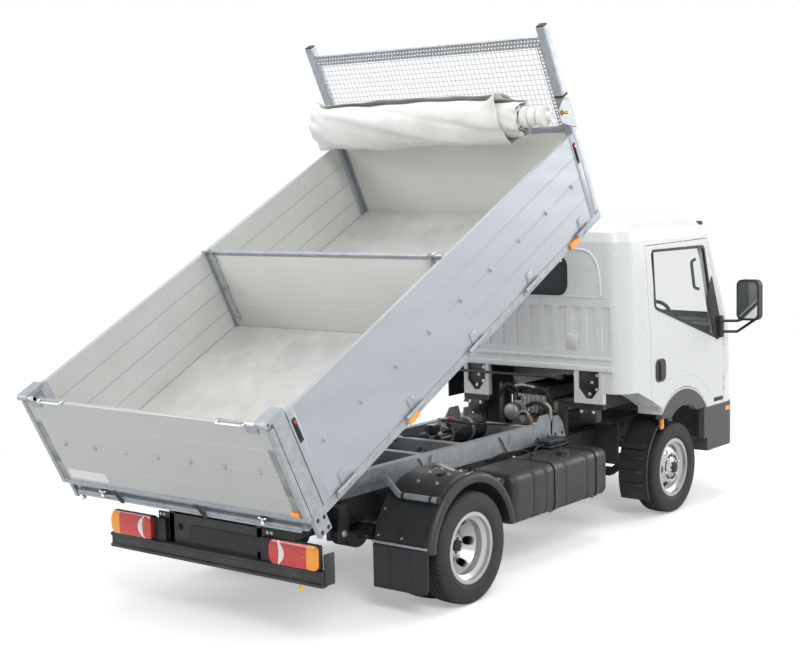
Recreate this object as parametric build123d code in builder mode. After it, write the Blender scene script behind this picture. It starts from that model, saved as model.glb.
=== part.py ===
from build123d import *
import os
from math import atan2, cos, hypot, radians, sin

# A light three-way tipper with a short cab, its bed raised as when it is emptied.
# Millimetres. +X is forward, +Y is left, +Z is up, and the ground is at zero.
# Places along X are measured from the rear axle, and the cab's from the front axle, through the planes below.

# Wheels and axles
wheelbase = 2880
tyre_radius = 350
tyre_width = 195
rim_seat_radius = 205
rim_flange_radius = 223
rim_width = 154
front_track_half = 750
rear_outer_half = 907
twin_spacing = 225
kingpin_half = 660

# Chassis
rail_rear, rail_front = -1150, 620
rail_outer, rail_flange, rail_gauge = 390, 60, 6
rail_low, rail_high = 510, 680
subframe_rear, subframe_front = -1190, 1650
subframe_outer, subframe_wide, subframe_high = 400, 60, 820

# Bed, in its own frame: length from the tailgate's outer face, height from the side boards' foot
bed_length = 3379
bed_half = 1015
board_height = 602
board_thick = 25
bed_tilt = 27.27
tilt_limit = 45
hinge_x, hinge_z = -1227, 834
hinge_along, hinge_below = 250, 120
floor_thick = 22
post_top = 1352
partition_at = 1716
play = 5

# Cab, its places along X measured from the front axle
cab_rear = -850
cab_half = 905
cab_wall = 45
cab_pivot_x, cab_pivot_z = 740, 550
cab_foot = 770
belt_height = 1374
roof_height = 2272
arch_x, arch_z, arch_radius = 20, 505, 455
bumper_front = 1020
cab_pivot_radius, cab_pivot_plate = 14, 34
cab_hoops = ((295, 530), (-715, -470))
hoop_low, hoop_high, hoop_deep, hoop_wide = 941, 1190, 40, 35
shelf_rear, shelf_thick = cab_rear - 4, 30

# Small sizes that many pieces share
seat_gap = 0.3
over = 10

# The bed's own frame: where its foot stands once the bed is tipped about its hinge
tilt = radians(bed_tilt)
bed_x = hinge_x - hinge_along * cos(tilt) - hinge_below * sin(tilt)
bed_z = hinge_z - hinge_along * sin(tilt) + hinge_below * cos(tilt)
gate_pin_along, gate_pin_up, gate_pin_radius = -5, 615, 12
rear_reach = bed_x + gate_pin_along * cos(tilt) - gate_pin_up * sin(tilt) - gate_pin_radius

# The origin is below the middle of the whole truck, so the rear axle stands behind it
axle_x = -(wheelbase + bumper_front + rear_reach) / 2

# Planes of the truck, from the rear axle on the ground: from above, from the right, from behind
truck = Plane(origin=(axle_x, 0, 0))
side = Plane(origin=(axle_x, 0, 0), x_dir=(1, 0, 0), z_dir=(0, -1, 0))
end = Plane(origin=(axle_x, 0, 0), x_dir=(0, 1, 0), z_dir=(1, 0, 0))

# The same planes through the front axle, for the cab
nose_x = axle_x + wheelbase
nose = Plane(origin=(nose_x, 0, 0))
nose_side = Plane(origin=(nose_x, 0, 0), x_dir=(1, 0, 0), z_dir=(0, -1, 0))
nose_end = Plane(origin=(nose_x, 0, 0), x_dir=(0, 1, 0), z_dir=(1, 0, 0))

# Planes of the bed, tipped with it
bed_origin = (axle_x + bed_x, 0, bed_z)
bed = Plane(origin=bed_origin, x_dir=(cos(tilt), 0, sin(tilt)), z_dir=(-sin(tilt), 0, cos(tilt)))
bed_side = Plane(origin=bed_origin, x_dir=(cos(tilt), 0, sin(tilt)), z_dir=(0, -1, 0))
bed_end = Plane(origin=bed_origin, x_dir=(0, 1, 0), z_dir=(cos(tilt), 0, sin(tilt)))

os.makedirs("parts", exist_ok=True)


def block(plane, x, y, z, mode=Mode.ADD):
    """A box from its low and high places along each axis of a plane."""
    with BuildSketch(plane.offset(z[0])) as base:
        with Locations(((x[0] + x[1]) / 2, (y[0] + y[1]) / 2)):
            Rectangle(x[1] - x[0], y[1] - y[0])
    return extrude(base.sketch, amount=z[1] - z[0], mode=mode)


def outline(plane, points, depth, mode=Mode.ADD, round_by=0):
    """A closed outline on a plane, its corners rounded, pushed out along the plane's normal."""
    with BuildSketch(plane) as profile:
        with BuildLine():
            Polyline(*points, close=True)
        make_face()
        if round_by:
            fillet(vertices(), radius=round_by)
    return extrude(profile.sketch, amount=depth, mode=mode)


def rod(plane, x, y, radius, depth, mode=Mode.ADD):
    """A round bar that stands on a plane at one place."""
    with BuildSketch(plane) as disc:
        with Locations((x, y)):
            Circle(radius)
    return extrude(disc.sketch, amount=depth, mode=mode)


# Chassis: two channel rails, open inwards, and the cross members between their webs
rail_web = rail_outer - rail_gauge
rail_inner = rail_outer - rail_flange
cross_wide, cross_above, cross_below = 60, 68, 15
cross_low, cross_high = rail_low + cross_above, rail_high - cross_below
cross_places = (-1120, -650, 305, 1010, 1560, wheelbase + rail_front - cross_wide)
ram_x, ram_z = 90, 545
ram_ear_half, ram_ear_thick = 62, 12
ram_ear_radius = 45
spring_inner, spring_outer = 420, 480
spring_reach, spring_eye_z = 620, 500
spring_eye_radius, hanger_thick, hanger_reach = 24, 12, 45
spring_wide_front = 55
front_spring_inner = rail_outer - spring_wide_front
front_reach, front_eye_z = 480, 470
with BuildPart() as chassis_frame:
    with BuildSketch(end.offset(rail_rear)):
        with BuildLine():
            Polyline(
                (rail_outer, rail_low),
                (rail_outer, rail_high),
                (rail_inner, rail_high),
                (rail_inner, rail_high - rail_gauge),
                (rail_web, rail_high - rail_gauge),
                (rail_web, rail_low + rail_gauge),
                (rail_inner, rail_low + rail_gauge),
                (rail_inner, rail_low),
                close=True,
            )
        make_face()
    extrude(amount=wheelbase + rail_front - rail_rear)
    # hangers that hold the rear springs' eyes between two ears
    for place in (-spring_reach, spring_reach):
        low, high = place - hanger_reach, place + hanger_reach
        for near, far in (
            (rail_outer, spring_inner - seat_gap),
            (spring_outer + seat_gap, spring_outer + seat_gap + hanger_thick),
        ):
            block(truck, (low, high), (near, far), (spring_eye_z - hanger_reach, rail_high - hanger_thick))
        block(
            truck,
            (low, high),
            (rail_outer, spring_outer + seat_gap + hanger_thick),
            (spring_eye_z + 2 * hanger_reach, rail_high - hanger_thick),
        )
    # blocks over the front springs' eyes
    for place in (wheelbase - front_reach, wheelbase + front_reach):
        block(
            truck,
            (place - spring_eye_radius, place + spring_eye_radius),
            (front_spring_inner, rail_outer),
            (front_eye_z + spring_eye_radius + seat_gap, rail_low),
        )
    # the cab's front pivots, on plates ahead of the rails
    outline(
        nose_side.offset(-rail_outer),
        (
            (rail_front - 2 * cab_pivot_plate, rail_low),
            (rail_front - 2 * cab_pivot_plate, rail_high),
            (rail_front, rail_high),
            (cab_pivot_x + cab_pivot_plate, cab_pivot_z + cab_pivot_plate),
            (cab_pivot_x + cab_pivot_plate, cab_pivot_z - cab_pivot_plate),
        ),
        hanger_thick,
    )
    pivot_plane = nose_side.offset(-rail_outer - hanger_thick)
    rod(pivot_plane, cab_pivot_x, cab_pivot_z, cab_pivot_radius, 2 * hanger_thick)
    mirror(about=Plane.XZ)
    # uprights and shelves that the cab's rear hoops stand on
    for near, far in cab_hoops:
        out = 1 if far > 0 else -1
        upright = sorted((out * rail_inner, out * rail_outer))
        along = (shelf_rear, shelf_rear + hoop_deep)
        block(nose, along, upright, (rail_high - rail_gauge, hoop_low - shelf_thick))
        reach = (min(near, upright[0]), max(far, upright[1]))
        block(nose, along, reach, (hoop_low - shelf_thick - over, hoop_low - seat_gap))
    for place in cross_places:
        block(truck, (place, place + cross_wide), (-rail_web, rail_web), (cross_low, cross_high))
    # ears that carry the ram's foot
    for near in (-ram_ear_half - ram_ear_thick, ram_ear_half):
        ear_up = (ram_z - ram_ear_radius, cross_high)
        block(truck, (ram_x, cross_places[2]), (near, near + ram_ear_thick), ear_up)
        rod(side.offset(-near - ram_ear_thick), ram_x, ram_z, ram_ear_radius, ram_ear_thick)
    ram_pin_radius = 15
    ear_span = ram_ear_half + ram_ear_thick
    rod(side.offset(-ear_span), ram_x, ram_z, ram_pin_radius, 2 * ear_span)
chassis_frame.part.label = "chassis_frame"
export_step(chassis_frame.part, "parts/chassis_frame.step")

# Subframe: galvanised box rails on the chassis, with the bed's hinge at their rear end
subframe_inner = subframe_outer - subframe_wide
subframe_crosses = (-1130, -640, 340, 780, 1590)
hinge_plate, hinge_plate_reach = 12, 38
bed_pin_radius = 15
with BuildPart() as subframe:
    rail_across = (subframe_inner, subframe_outer)
    block(truck, (subframe_rear, subframe_front), rail_across, (rail_high, subframe_high))
    for near in (subframe_inner - hinge_plate, subframe_outer):
        outline(
            side.offset(-near - hinge_plate),
            (
                (hinge_x - hinge_plate_reach, hinge_z - hinge_plate_reach),
                (hinge_x - hinge_plate_reach, hinge_z + hinge_plate_reach),
                (hinge_x + hinge_plate_reach, hinge_z + hinge_plate_reach),
                (hinge_x + 4 * hinge_plate_reach, subframe_high),
                (hinge_x + 4 * hinge_plate_reach, rail_high),
                (hinge_x + hinge_plate_reach, rail_high),
            ),
            hinge_plate,
        )
    rod(
        side.offset(-subframe_outer - hinge_plate),
        hinge_x,
        hinge_z,
        bed_pin_radius,
        subframe_wide + 2 * hinge_plate,
    )
    mirror(about=Plane.XZ)
    for place in subframe_crosses:
        across, up = (-subframe_inner, subframe_inner), (rail_high + over, subframe_high - over)
        block(truck, (place, place + cross_wide), across, up)
subframe.part.label = "subframe"
export_step(subframe.part, "parts/subframe.step")

# Front axle: a beam that drops between the wheels and ends in the bosses of the king pins
boss_radius, boss_half = 32, 45
beam_thick, beam_drop, beam_wide = 60, 90, 70
kingpin_radius = 15
pin_play = 0.05
hub_z = tyre_radius
front_pad = hub_z + beam_thick / 2 - beam_drop / 2 + beam_thick / 4
with BuildPart() as front_axle:
    shoulder = front_spring_inner - spring_wide_front
    with BuildSketch(end.offset(wheelbase - beam_wide / 2)):
        with BuildLine():
            Polyline(
                (-kingpin_half, hub_z + beam_thick / 2),
                (-shoulder - beam_thick, hub_z + beam_thick / 2 - beam_drop / 2),
                (-shoulder, hub_z + beam_thick / 2 - beam_drop),
                (shoulder, hub_z + beam_thick / 2 - beam_drop),
                (shoulder + beam_thick, hub_z + beam_thick / 2 - beam_drop / 2),
                (kingpin_half, hub_z + beam_thick / 2),
                (kingpin_half, hub_z - beam_thick / 2),
                (shoulder + beam_thick, hub_z - beam_thick / 2 - beam_drop / 2),
                (shoulder, hub_z - beam_thick / 2 - beam_drop),
                (-shoulder, hub_z - beam_thick / 2 - beam_drop),
                (-shoulder - beam_thick, hub_z - beam_thick / 2 - beam_drop / 2),
                (-kingpin_half, hub_z - beam_thick / 2),
                close=True,
            )
        make_face()
    extrude(amount=beam_wide)
    for spread in (-kingpin_half, kingpin_half):
        rod(truck.offset(hub_z - boss_half), wheelbase, spread, boss_radius, 2 * boss_half)
        rod(
            truck.offset(hub_z - boss_half - over),
            wheelbase,
            spread,
            kingpin_radius + pin_play,
            2 * (boss_half + over),
            Mode.SUBTRACT,
        )
    # seats under the springs
    for near in (-front_spring_inner - spring_wide_front, front_spring_inner):
        block(
            truck,
            (wheelbase - beam_wide / 2, wheelbase + beam_wide / 2),
            (near, near + spring_wide_front),
            (hub_z - beam_thick / 2, front_pad - seat_gap),
        )
front_axle.part.label = "front_axle"
export_step(front_axle.part, "parts/front_axle.step")

# Leaf springs: stacked leaves, each shorter than the one above it
leaf_thick, leaf_count, leaf_step = 15, 4, 120
rear_pad = 400


def leaf_spring(centre, pad_z, reach, eye_z, near, wide):
    """One spring seen from the side: leaves on a common arc, and an eye at each end."""
    for leaf in range(leaf_count):
        length = reach - leaf * leaf_step
        low = pad_z + (leaf_count - 1 - leaf) * leaf_thick
        rise = (eye_z - pad_z - leaf_count * leaf_thick) * (length / reach) ** 2
        with BuildSketch(side.offset(-near - wide)) as leaf_profile:
            with BuildLine():
                under = ThreePointArc(
                    (centre - length, low + rise), (centre, low), (centre + length, low + rise)
                )
                upper = ThreePointArc(
                    (centre - length, low + rise + leaf_thick),
                    (centre, low + leaf_thick),
                    (centre + length, low + rise + leaf_thick),
                )
                Line(under @ 0, upper @ 0)
                Line(under @ 1, upper @ 1)
            make_face()
        extrude(leaf_profile.sketch, amount=wide)
    for place in (centre - reach, centre + reach):
        rod(side.offset(-near - wide), place, eye_z, spring_eye_radius, wide)


with BuildPart() as leaf_springs:
    leaf_spring(0, rear_pad, spring_reach, spring_eye_z, spring_inner, spring_outer - spring_inner)
    leaf_spring(wheelbase, front_pad, front_reach, front_eye_z, front_spring_inner, spring_wide_front)
    mirror(about=Plane.XZ)
leaf_springs.part.label = "leaf_springs"
export_step(leaf_springs.part, "parts/leaf_springs.step")

# Rear axle: tube, differential and pinion nose, with the propeller shaft to the gearbox
axle_tube_radius, axle_tube_half = 50, 530
diff_radius, diff_half, nose_radius, nose_reach = 120, 75, 60, 290
shaft_radius = 38
gearbox_rear, gearbox_shaft_z = wheelbase - 1120, 540
with BuildPart() as rear_axle:
    rod(side.offset(-axle_tube_half), 0, hub_z, axle_tube_radius, 2 * axle_tube_half)
    with BuildSketch(side.offset(-diff_half)):
        with Locations((0, hub_z)):
            Circle(diff_radius)
    extrude(amount=2 * diff_half)
    with BuildSketch(end):
        with Locations((0, hub_z)):
            Circle(nose_radius)
    extrude(amount=nose_reach)
    shaft_plane = Plane(
        origin=(axle_x + nose_reach, 0, hub_z),
        z_dir=(gearbox_rear - nose_reach, 0, gearbox_shaft_z - hub_z),
    )
    with BuildSketch(shaft_plane):
        Circle(shaft_radius)
    extrude(amount=hypot(gearbox_rear - nose_reach, gearbox_shaft_z - hub_z))
rear_axle.part.label = "rear_axle"
export_step(rear_axle.part, "parts/rear_axle.step")

# Engine and gearbox, open to view behind the cab
engine_rear, engine_front, engine_half = wheelbase - 810, wheelbase - 30, 240
engine_low, engine_high = 470, 1050
gearbox_half, gearbox_low, gearbox_high = 150, 440, 720
engine_mount_x, engine_mount_z, engine_mount_size = wheelbase - 380, 590, 90
with BuildPart() as engine:
    block(truck, (engine_rear, engine_front), (-engine_half, engine_half), (engine_low + over, engine_high))
    gearbox = (gearbox_rear + shaft_radius, engine_rear)
    block(truck, gearbox, (-gearbox_half, gearbox_half), (gearbox_low, gearbox_high))
    for place in (-1, 1):
        near, far = sorted((place * engine_half, place * (rail_web - seat_gap)))
        block(
            truck,
            (engine_mount_x, engine_mount_x + engine_mount_size),
            (near, far),
            (engine_mount_z, engine_mount_z + engine_mount_size / 2),
        )
engine.part.label = "engine"
export_step(engine.part, "parts/engine.step")

# Fuel tank on the right rail, with its filler neck and two straps
tank_rear, tank_front = 670, 1865
tank_inner, tank_outer = 440, 850
tank_low, tank_high = 330, 670
tank_round, strap_wide, strap_thick = 55, 45, 6
neck_x, neck_radius, neck_high = 1420, 45, 40
strap_places = (1180, 1720)
with BuildPart() as fuel_tank:
    block(truck, (tank_rear, tank_front), (-tank_outer, -tank_inner), (tank_low, tank_high))
    fillet(edges().filter_by(Axis.X), radius=tank_round)
    fillet(edges().group_by(Axis.X)[0] + edges().group_by(Axis.X)[-1], radius=tank_round / 2)
    neck_y = -tank_outer + 2 * neck_radius + over
    rod(truck.offset(tank_high - over), neck_x, neck_y, neck_radius, neck_high + over)
    # the arms between the rail's web and the tank
    for place in strap_places:
        block(
            truck,
            (place - strap_wide / 2, place + strap_wide / 2),
            (-tank_inner - over, -rail_outer - seat_gap),
            (rail_low + strap_wide, rail_high - strap_wide),
        )
fuel_tank.part.label = "fuel_tank"
export_step(fuel_tank.part, "parts/fuel_tank.step")

# Battery box on the left rail
battery_rear, battery_front = 1280, 1830
battery_inner, battery_outer = 420, 800
battery_low, battery_high = 360, 640
with BuildPart() as battery_box:
    block(truck, (battery_rear, battery_front), (battery_inner, battery_outer), (battery_low, battery_high))
    fillet(edges().filter_by(Axis.Z), radius=over)
    block(
        truck,
        (battery_rear + strap_wide, battery_front - strap_wide),
        (rail_outer + seat_gap, battery_inner),
        (rail_low + strap_wide, battery_high - strap_wide),
    )
battery_box.part.label = "battery_box"
export_step(battery_box.part, "parts/battery_box.step")

# Hydraulic pack between the subframe's rails: oil tank, motor and pump on a tray
pack_tray_thick = 8
oil_rear, oil_front, oil_radius, oil_y, oil_z = 1120, 1550, 88, 60, 796
motor_rear, motor_radius, motor_z = 880, 62, 775
with BuildPart() as hydraulic_pack:
    rod(end.offset(oil_rear), oil_y, oil_z, oil_radius, oil_front - oil_rear)
    rod(end.offset(motor_rear), oil_y, motor_z, motor_radius, oil_rear - motor_rear)
    block(
        truck,
        (subframe_crosses[3] + cross_wide + seat_gap, subframe_crosses[4] - seat_gap),
        (-subframe_inner + seat_gap, subframe_inner - seat_gap),
        (oil_z - oil_radius - pack_tray_thick, oil_z - oil_radius + pack_tray_thick / 2),
    )
hydraulic_pack.part.label = "hydraulic_pack"
export_step(hydraulic_pack.part, "parts/hydraulic_pack.step")

# Rear mudguards: an arch over each pair of wheels, its outer lip and the flap behind
guard_z, guard_radius, guard_thick = 365, 455, 6
guard_inner, guard_outer, guard_lip = 570, 1020, 60
guard_rear = (9, 175)
flap_low, flap_thick = 150, 6


def guard_band(x, z, radius, thick, turns, start, wide):
    """A band round a wheel, seen from the side, between two angles up from the front."""
    with BuildSketch(side.offset(start)) as band:
        with BuildLine():
            for rim_line in (radius, radius + thick):
                CenterArc((x, z), rim_line, turns[0], turns[1] - turns[0])
            for turn in turns:
                across, up = cos(radians(turn)), sin(radians(turn))
                Line(
                    (x + radius * across, z + radius * up),
                    (x + (radius + thick) * across, z + (radius + thick) * up),
                )
        make_face()
    extrude(band.sketch, amount=wide)


with BuildPart() as rear_mudguards:
    guard_wide = guard_outer - guard_inner
    guard_band(0, guard_z, guard_radius - guard_thick, guard_thick, guard_rear, -guard_outer, guard_wide)
    guard_band(0, guard_z, guard_radius - guard_lip, guard_lip, guard_rear, -guard_outer, guard_thick)
    # the flap hangs on the arch's rear foot
    flap_x = guard_radius * cos(radians(guard_rear[1]))
    flap_top = guard_z + guard_radius * sin(radians(guard_rear[1]))
    flap_across = (guard_inner, guard_outer - guard_lip / 2)
    block(truck, (flap_x - flap_thick, flap_x + flap_thick), flap_across, (flap_low, flap_top))
    mirror(about=Plane.XZ)
rear_mudguards.part.label = "rear_mudguards"
export_step(rear_mudguards.part, "parts/rear_mudguards.step")

# The mudguards' stays: bent tubes from the subframe's sides, out along the arch before and behind
stay_radius, stay_bend, stay_turn = 19, 40, 46
stay_foot_x, stay_foot_z, stay_knee_x, stay_knee_y, stay_knee_z = 236, 746, 262, 530, 785
stay_bend_y, stay_end = 690, guard_outer - 30
stay_reach = guard_radius + stay_radius + seat_gap
stay_x = stay_reach * cos(radians(stay_turn))
stay_z = guard_z + stay_reach * sin(radians(stay_turn))
with BuildPart() as mudguard_stays:
    for out in (-1, 1):
        with BuildLine() as stay_line:
            FilletPolyline(
                (axle_x + out * stay_foot_x, -subframe_outer - seat_gap, stay_foot_z),
                (axle_x + out * stay_foot_x, -subframe_outer - stay_bend, stay_foot_z),
                (axle_x + out * stay_knee_x, -stay_knee_y, stay_knee_z),
                (axle_x + out * stay_x, -stay_bend_y, stay_z),
                (axle_x + out * stay_x, -stay_end, stay_z),
                radius=stay_bend,
            )
        with BuildSketch(Plane(origin=stay_line.line @ 0, z_dir=stay_line.line % 0)) as stay_section:
            Circle(stay_radius)
        sweep(stay_section.sketch, path=stay_line.line)
    mirror(about=Plane.XZ)
mudguard_stays.part.label = "mudguard_stays"
export_step(mudguard_stays.part, "parts/mudguard_stays.step")

# Exhaust: a pipe from the engine below the left rail, the silencer, and a tail ahead of the rear wheels
silencer_rear, silencer_front, silencer_radius, silencer_y, silencer_z = 700, 1160, 95, 620, 520
pipe_radius, pipe_bend, pipe_start_y, pipe_start_z = 25, 45, 200, 520
pipe_turn_x, pipe_under_x, pipe_under_y, pipe_under_z = 1950, 1780, 362, 462
pipe_out_x, tail_x, tail_y, tail_z = 1225, 600, 880, 430
silencer_straps = (800, 1080)


def pipe(points):
    """A round pipe along points of the truck, its corners bent."""
    with BuildLine() as path:
        FilletPolyline(*[(axle_x + x, y, z) for x, y, z in points], radius=pipe_bend)
    with BuildSketch(Plane(origin=path.line @ 0, z_dir=path.line % 0)) as section:
        Circle(pipe_radius)
    sweep(section.sketch, path=path.line)


with BuildPart() as exhaust:
    rod(end.offset(silencer_rear), silencer_y, silencer_z, silencer_radius, silencer_front - silencer_rear)
    pipe(
        (
            (engine_rear - seat_gap, pipe_start_y, pipe_start_z),
            (pipe_turn_x, pipe_start_y, pipe_start_z),
            (pipe_under_x, pipe_under_y, pipe_under_z),
            (pipe_out_x, pipe_under_y, pipe_under_z),
            (pipe_out_x, silencer_y, silencer_z),
            (silencer_front - over, silencer_y, silencer_z),
        )
    )
    pipe(
        (
            (silencer_rear + over, silencer_y, silencer_z),
            (tail_x, silencer_y, silencer_z),
            (tail_x, silencer_y + 2 * pipe_bend, tail_z),
            (tail_x, tail_y, tail_z),
        )
    )
    for place in silencer_straps:
        block(
            truck,
            (place - strap_wide / 2, place + strap_wide / 2),
            (rail_outer + seat_gap, silencer_y - silencer_radius / 2),
            (silencer_z + strap_wide / 2, silencer_z + strap_wide),
        )
exhaust.part.label = "exhaust"
export_step(exhaust.part, "parts/exhaust.step")

# Rear underrun bar with its brackets and the lamps on it
bar_rear, bar_deep, bar_low, bar_high, bar_half = -1262, 50, 372, 465, 874
bracket_half_outer, bracket_half_inner = 388, 340
with BuildPart() as underrun_bar:
    block(truck, (bar_rear, bar_rear + bar_deep), (-bar_half, bar_half), (bar_low, bar_high))
    for near in (-bracket_half_outer, bracket_half_inner):
        far = near + bracket_half_outer - bracket_half_inner
        block(truck, (bar_rear + bar_deep, rail_rear - seat_gap), (near, far), (bar_low, rail_high - over))
underrun_bar.part.label = "underrun_bar"
export_step(underrun_bar.part, "parts/underrun_bar.step")

lamp_near, lamp_far, lamp_high, lamp_deep = 490, 850, 605, 62
with BuildPart() as tail_lamps:
    lamp_along = (bar_rear - over, bar_rear - over + lamp_deep)
    block(truck, lamp_along, (lamp_near, lamp_far), (bar_high + seat_gap, lamp_high))
    fillet(edges().filter_by(Axis.X), radius=over)
    mirror(about=Plane.XZ)
tail_lamps.part.label = "tail_lamps"
export_step(tail_lamps.part, "parts/tail_lamps.step")

# Bed frame: two long beams that end in the hinge, bearers across them, edge beams and corner posts.
# Its members are separate solids, welded in the real one, that stand a seat apart.
beam_half_inner, beam_half_outer = 346, 394
bearer_deep, bearer_wide, bearer_count = 60, 50, 8
bearer_first, bearer_last = 320, bed_length - 129
edge_wide, post_along, post_foot = 45, 100, 154
gate_gap = board_thick + play
gate_knuckle_half, gate_ear_radius = 930, 20
board_outer = bed_half
board_inner = bed_half - board_thick
floor_half = board_inner - play
hinge_barrel_radius = 30
knuckle_radius, knuckle_long, knuckle_count = 12, 60, 5
knuckle_out, knuckle_down, knuckle_margin = 15, 10, 200
knuckle_y, knuckle_z = board_outer + knuckle_out, -knuckle_down
post_wide = 60
head_wall_rear = bed_length - post_wide
board_rear, board_front = gate_gap + post_along + play, head_wall_rear - play
knuckle_first, knuckle_last = board_rear + knuckle_margin, board_front - knuckle_margin
tab_thick, tab_reach = 5, 35


def spread(first, last, count):
    """Evenly spaced places from a first to a last one."""
    return [first + step * (last - first) / (count - 1) for step in range(count)]


bearer_places = spread(bearer_first, bearer_last, bearer_count)
knuckle_places = spread(knuckle_first, knuckle_last, knuckle_count)
ram_head_along, ram_head_down = 1712, 69
ram_cheek_thick, ram_cheek_reach = 12, 50
stage_count, stage_wall, stage_play = 4, 6, 1
barrel_radius = 57
ram_cheek_half = barrel_radius + play
ear_low, ear_high = board_height + play, gate_pin_up + gate_ear_radius
with BuildPart() as bed_frame:
    beam_along = (gate_gap + bearer_wide + seat_gap, head_wall_rear)
    block(bed, beam_along, (beam_half_inner, beam_half_outer), (-hinge_below, -bearer_deep - seat_gap))
    rod(
        bed_side.offset(-subframe_outer + seat_gap),
        hinge_along,
        -hinge_below,
        hinge_barrel_radius,
        subframe_wide - 2 * seat_gap,
    )
    rod(
        bed_side.offset(-subframe_outer - over),
        hinge_along,
        -hinge_below,
        bed_pin_radius + pin_play,
        subframe_wide + 2 * over,
        Mode.SUBTRACT,
    )
    # edge beam, with the board's fixed hinge knuckles
    block(bed, (gate_gap, bed_length), (floor_half - edge_wide, floor_half), (-bearer_deep, 0))
    edge_along = (gate_gap + post_along + seat_gap, bed_length)
    block(bed, edge_along, (floor_half, board_outer - play), (-bearer_deep, -play))
    for place in knuckle_places:
        for start in (place - 1.5 * knuckle_long, place + knuckle_long / 2):
            rod(
                bed_end.offset(start + seat_gap),
                knuckle_y,
                knuckle_z,
                knuckle_radius,
                knuckle_long - 2 * seat_gap,
            )
            block(
                bed,
                (start + seat_gap, start + knuckle_long - seat_gap),
                (board_outer - play - over, board_outer + tab_thick),
                (knuckle_z - tab_reach, knuckle_z - play),
            )
    mirror(about=Plane.XZ)
    cross_half = floor_half - edge_wide - seat_gap
    block(bed, (gate_gap, gate_gap + bearer_wide), (-cross_half, cross_half), (-hinge_below + play, 0))
    for place in bearer_places:
        along = (place - bearer_wide / 2, place + bearer_wide / 2)
        block(bed, along, (-cross_half, cross_half), (-bearer_deep, 0))
    # cheeks for the ram's head, between two bearers
    cheek_room = bearer_wide / 2 + seat_gap
    cheek_along = (bearer_places[3] + cheek_room, bearer_places[4] - cheek_room)
    for near in (-ram_cheek_half - ram_cheek_thick, ram_cheek_half):
        block(bed, cheek_along, (near, near + ram_cheek_thick), (-bearer_deep, 0))
        outline(
            bed_side.offset(-near - ram_cheek_thick),
            (
                (ram_head_along - 2 * ram_cheek_reach, -bearer_deep / 2),
                (ram_head_along - ram_cheek_reach, -ram_head_down - ram_cheek_reach),
                (ram_head_along + ram_cheek_reach, -ram_head_down - ram_cheek_reach),
                (ram_head_along + 2 * ram_cheek_reach, -bearer_deep / 2),
            ),
            ram_cheek_thick,
        )
bed_frame.part.label = "bed_frame"
export_step(bed_frame.part, "parts/bed_frame.step")

# Rear corner posts, with the ears that hold the tailgate's pins
with BuildPart() as corner_posts:
    post_across = (floor_half + seat_gap, board_outer)
    block(bed, (gate_gap, gate_gap + post_along), post_across, (-post_foot, ear_high))
    ear_across = (gate_knuckle_half + seat_gap, board_outer)
    block(bed, (gate_pin_along, gate_gap + post_along), ear_across, (ear_low, ear_high))
    rod(
        bed_side.offset(-board_outer),
        gate_pin_along,
        gate_pin_up,
        gate_ear_radius,
        board_outer - gate_knuckle_half - seat_gap,
    )
    rod(
        bed_side.offset(-board_outer - over),
        gate_pin_along,
        gate_pin_up,
        gate_pin_radius + pin_play,
        board_outer - gate_knuckle_half + 2 * over,
        Mode.SUBTRACT,
    )
    mirror(about=Plane.XZ)
corner_posts.part.label = "corner_posts"
export_step(corner_posts.part, "parts/corner_posts.step")

# Floor sheet, with the groove that the partition's foot stands in
partition_thick, groove_deep = 30, 2
with BuildPart() as bed_floor:
    block(bed, (gate_gap, head_wall_rear - seat_gap), (-floor_half, floor_half), (0, floor_thick))
    block(
        bed,
        (partition_at - seat_gap, partition_at + partition_thick + seat_gap),
        (-bed_half, bed_half),
        (floor_thick - groove_deep, floor_thick + over),
        Mode.SUBTRACT,
    )
bed_floor.part.label = "bed_floor"
export_step(bed_floor.part, "parts/bed_floor.step")

# Headboard: two tall posts, the wall between them, and a frame of wire mesh above it
mesh_low, mesh_high, mesh_rail = 650, 1250, 50
mesh_pitch, mesh_wire = 100, 8
with BuildPart() as headboard:
    for near in (-board_outer, board_outer - post_wide):
        block(bed, (bed_length - post_wide, bed_length), (near, near + post_wide), (0, post_top))
    wall_half = board_outer - post_wide
    wall_along = (head_wall_rear, head_wall_rear + board_thick)
    for low, high in (
        (0, board_height + play),
        (mesh_low - mesh_rail, mesh_low),
        (mesh_high, mesh_high + 2 * mesh_rail),
    ):
        block(bed, wall_along, (-wall_half, wall_half), (low, high))
    wires_up = int(2 * wall_half / mesh_pitch)
    wires_across = int((mesh_high - mesh_low) / mesh_pitch)
    for wire in range(1, wires_up):
        place = -wall_half + wire * 2 * wall_half / wires_up
        block(
            bed,
            (head_wall_rear + over, head_wall_rear + over + mesh_wire),
            (place - mesh_wire / 2, place + mesh_wire / 2),
            (mesh_low, mesh_high),
        )
    for wire in range(1, wires_across):
        place = mesh_low + wire * (mesh_high - mesh_low) / wires_across
        block(
            bed,
            (head_wall_rear + over, head_wall_rear + over + mesh_wire),
            (-wall_half, wall_half),
            (place - mesh_wire / 2, place + mesh_wire / 2),
        )
headboard.part.label = "headboard"
export_step(headboard.part, "parts/headboard.step")

# Partition wall across the middle of the bed
with BuildPart() as partition:
    block(
        bed,
        (partition_at, partition_at + partition_thick),
        (-board_inner + play, board_inner - play),
        (floor_thick - groove_deep, board_height + play),
    )
partition.part.label = "partition"
export_step(partition.part, "parts/partition.step")

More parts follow.
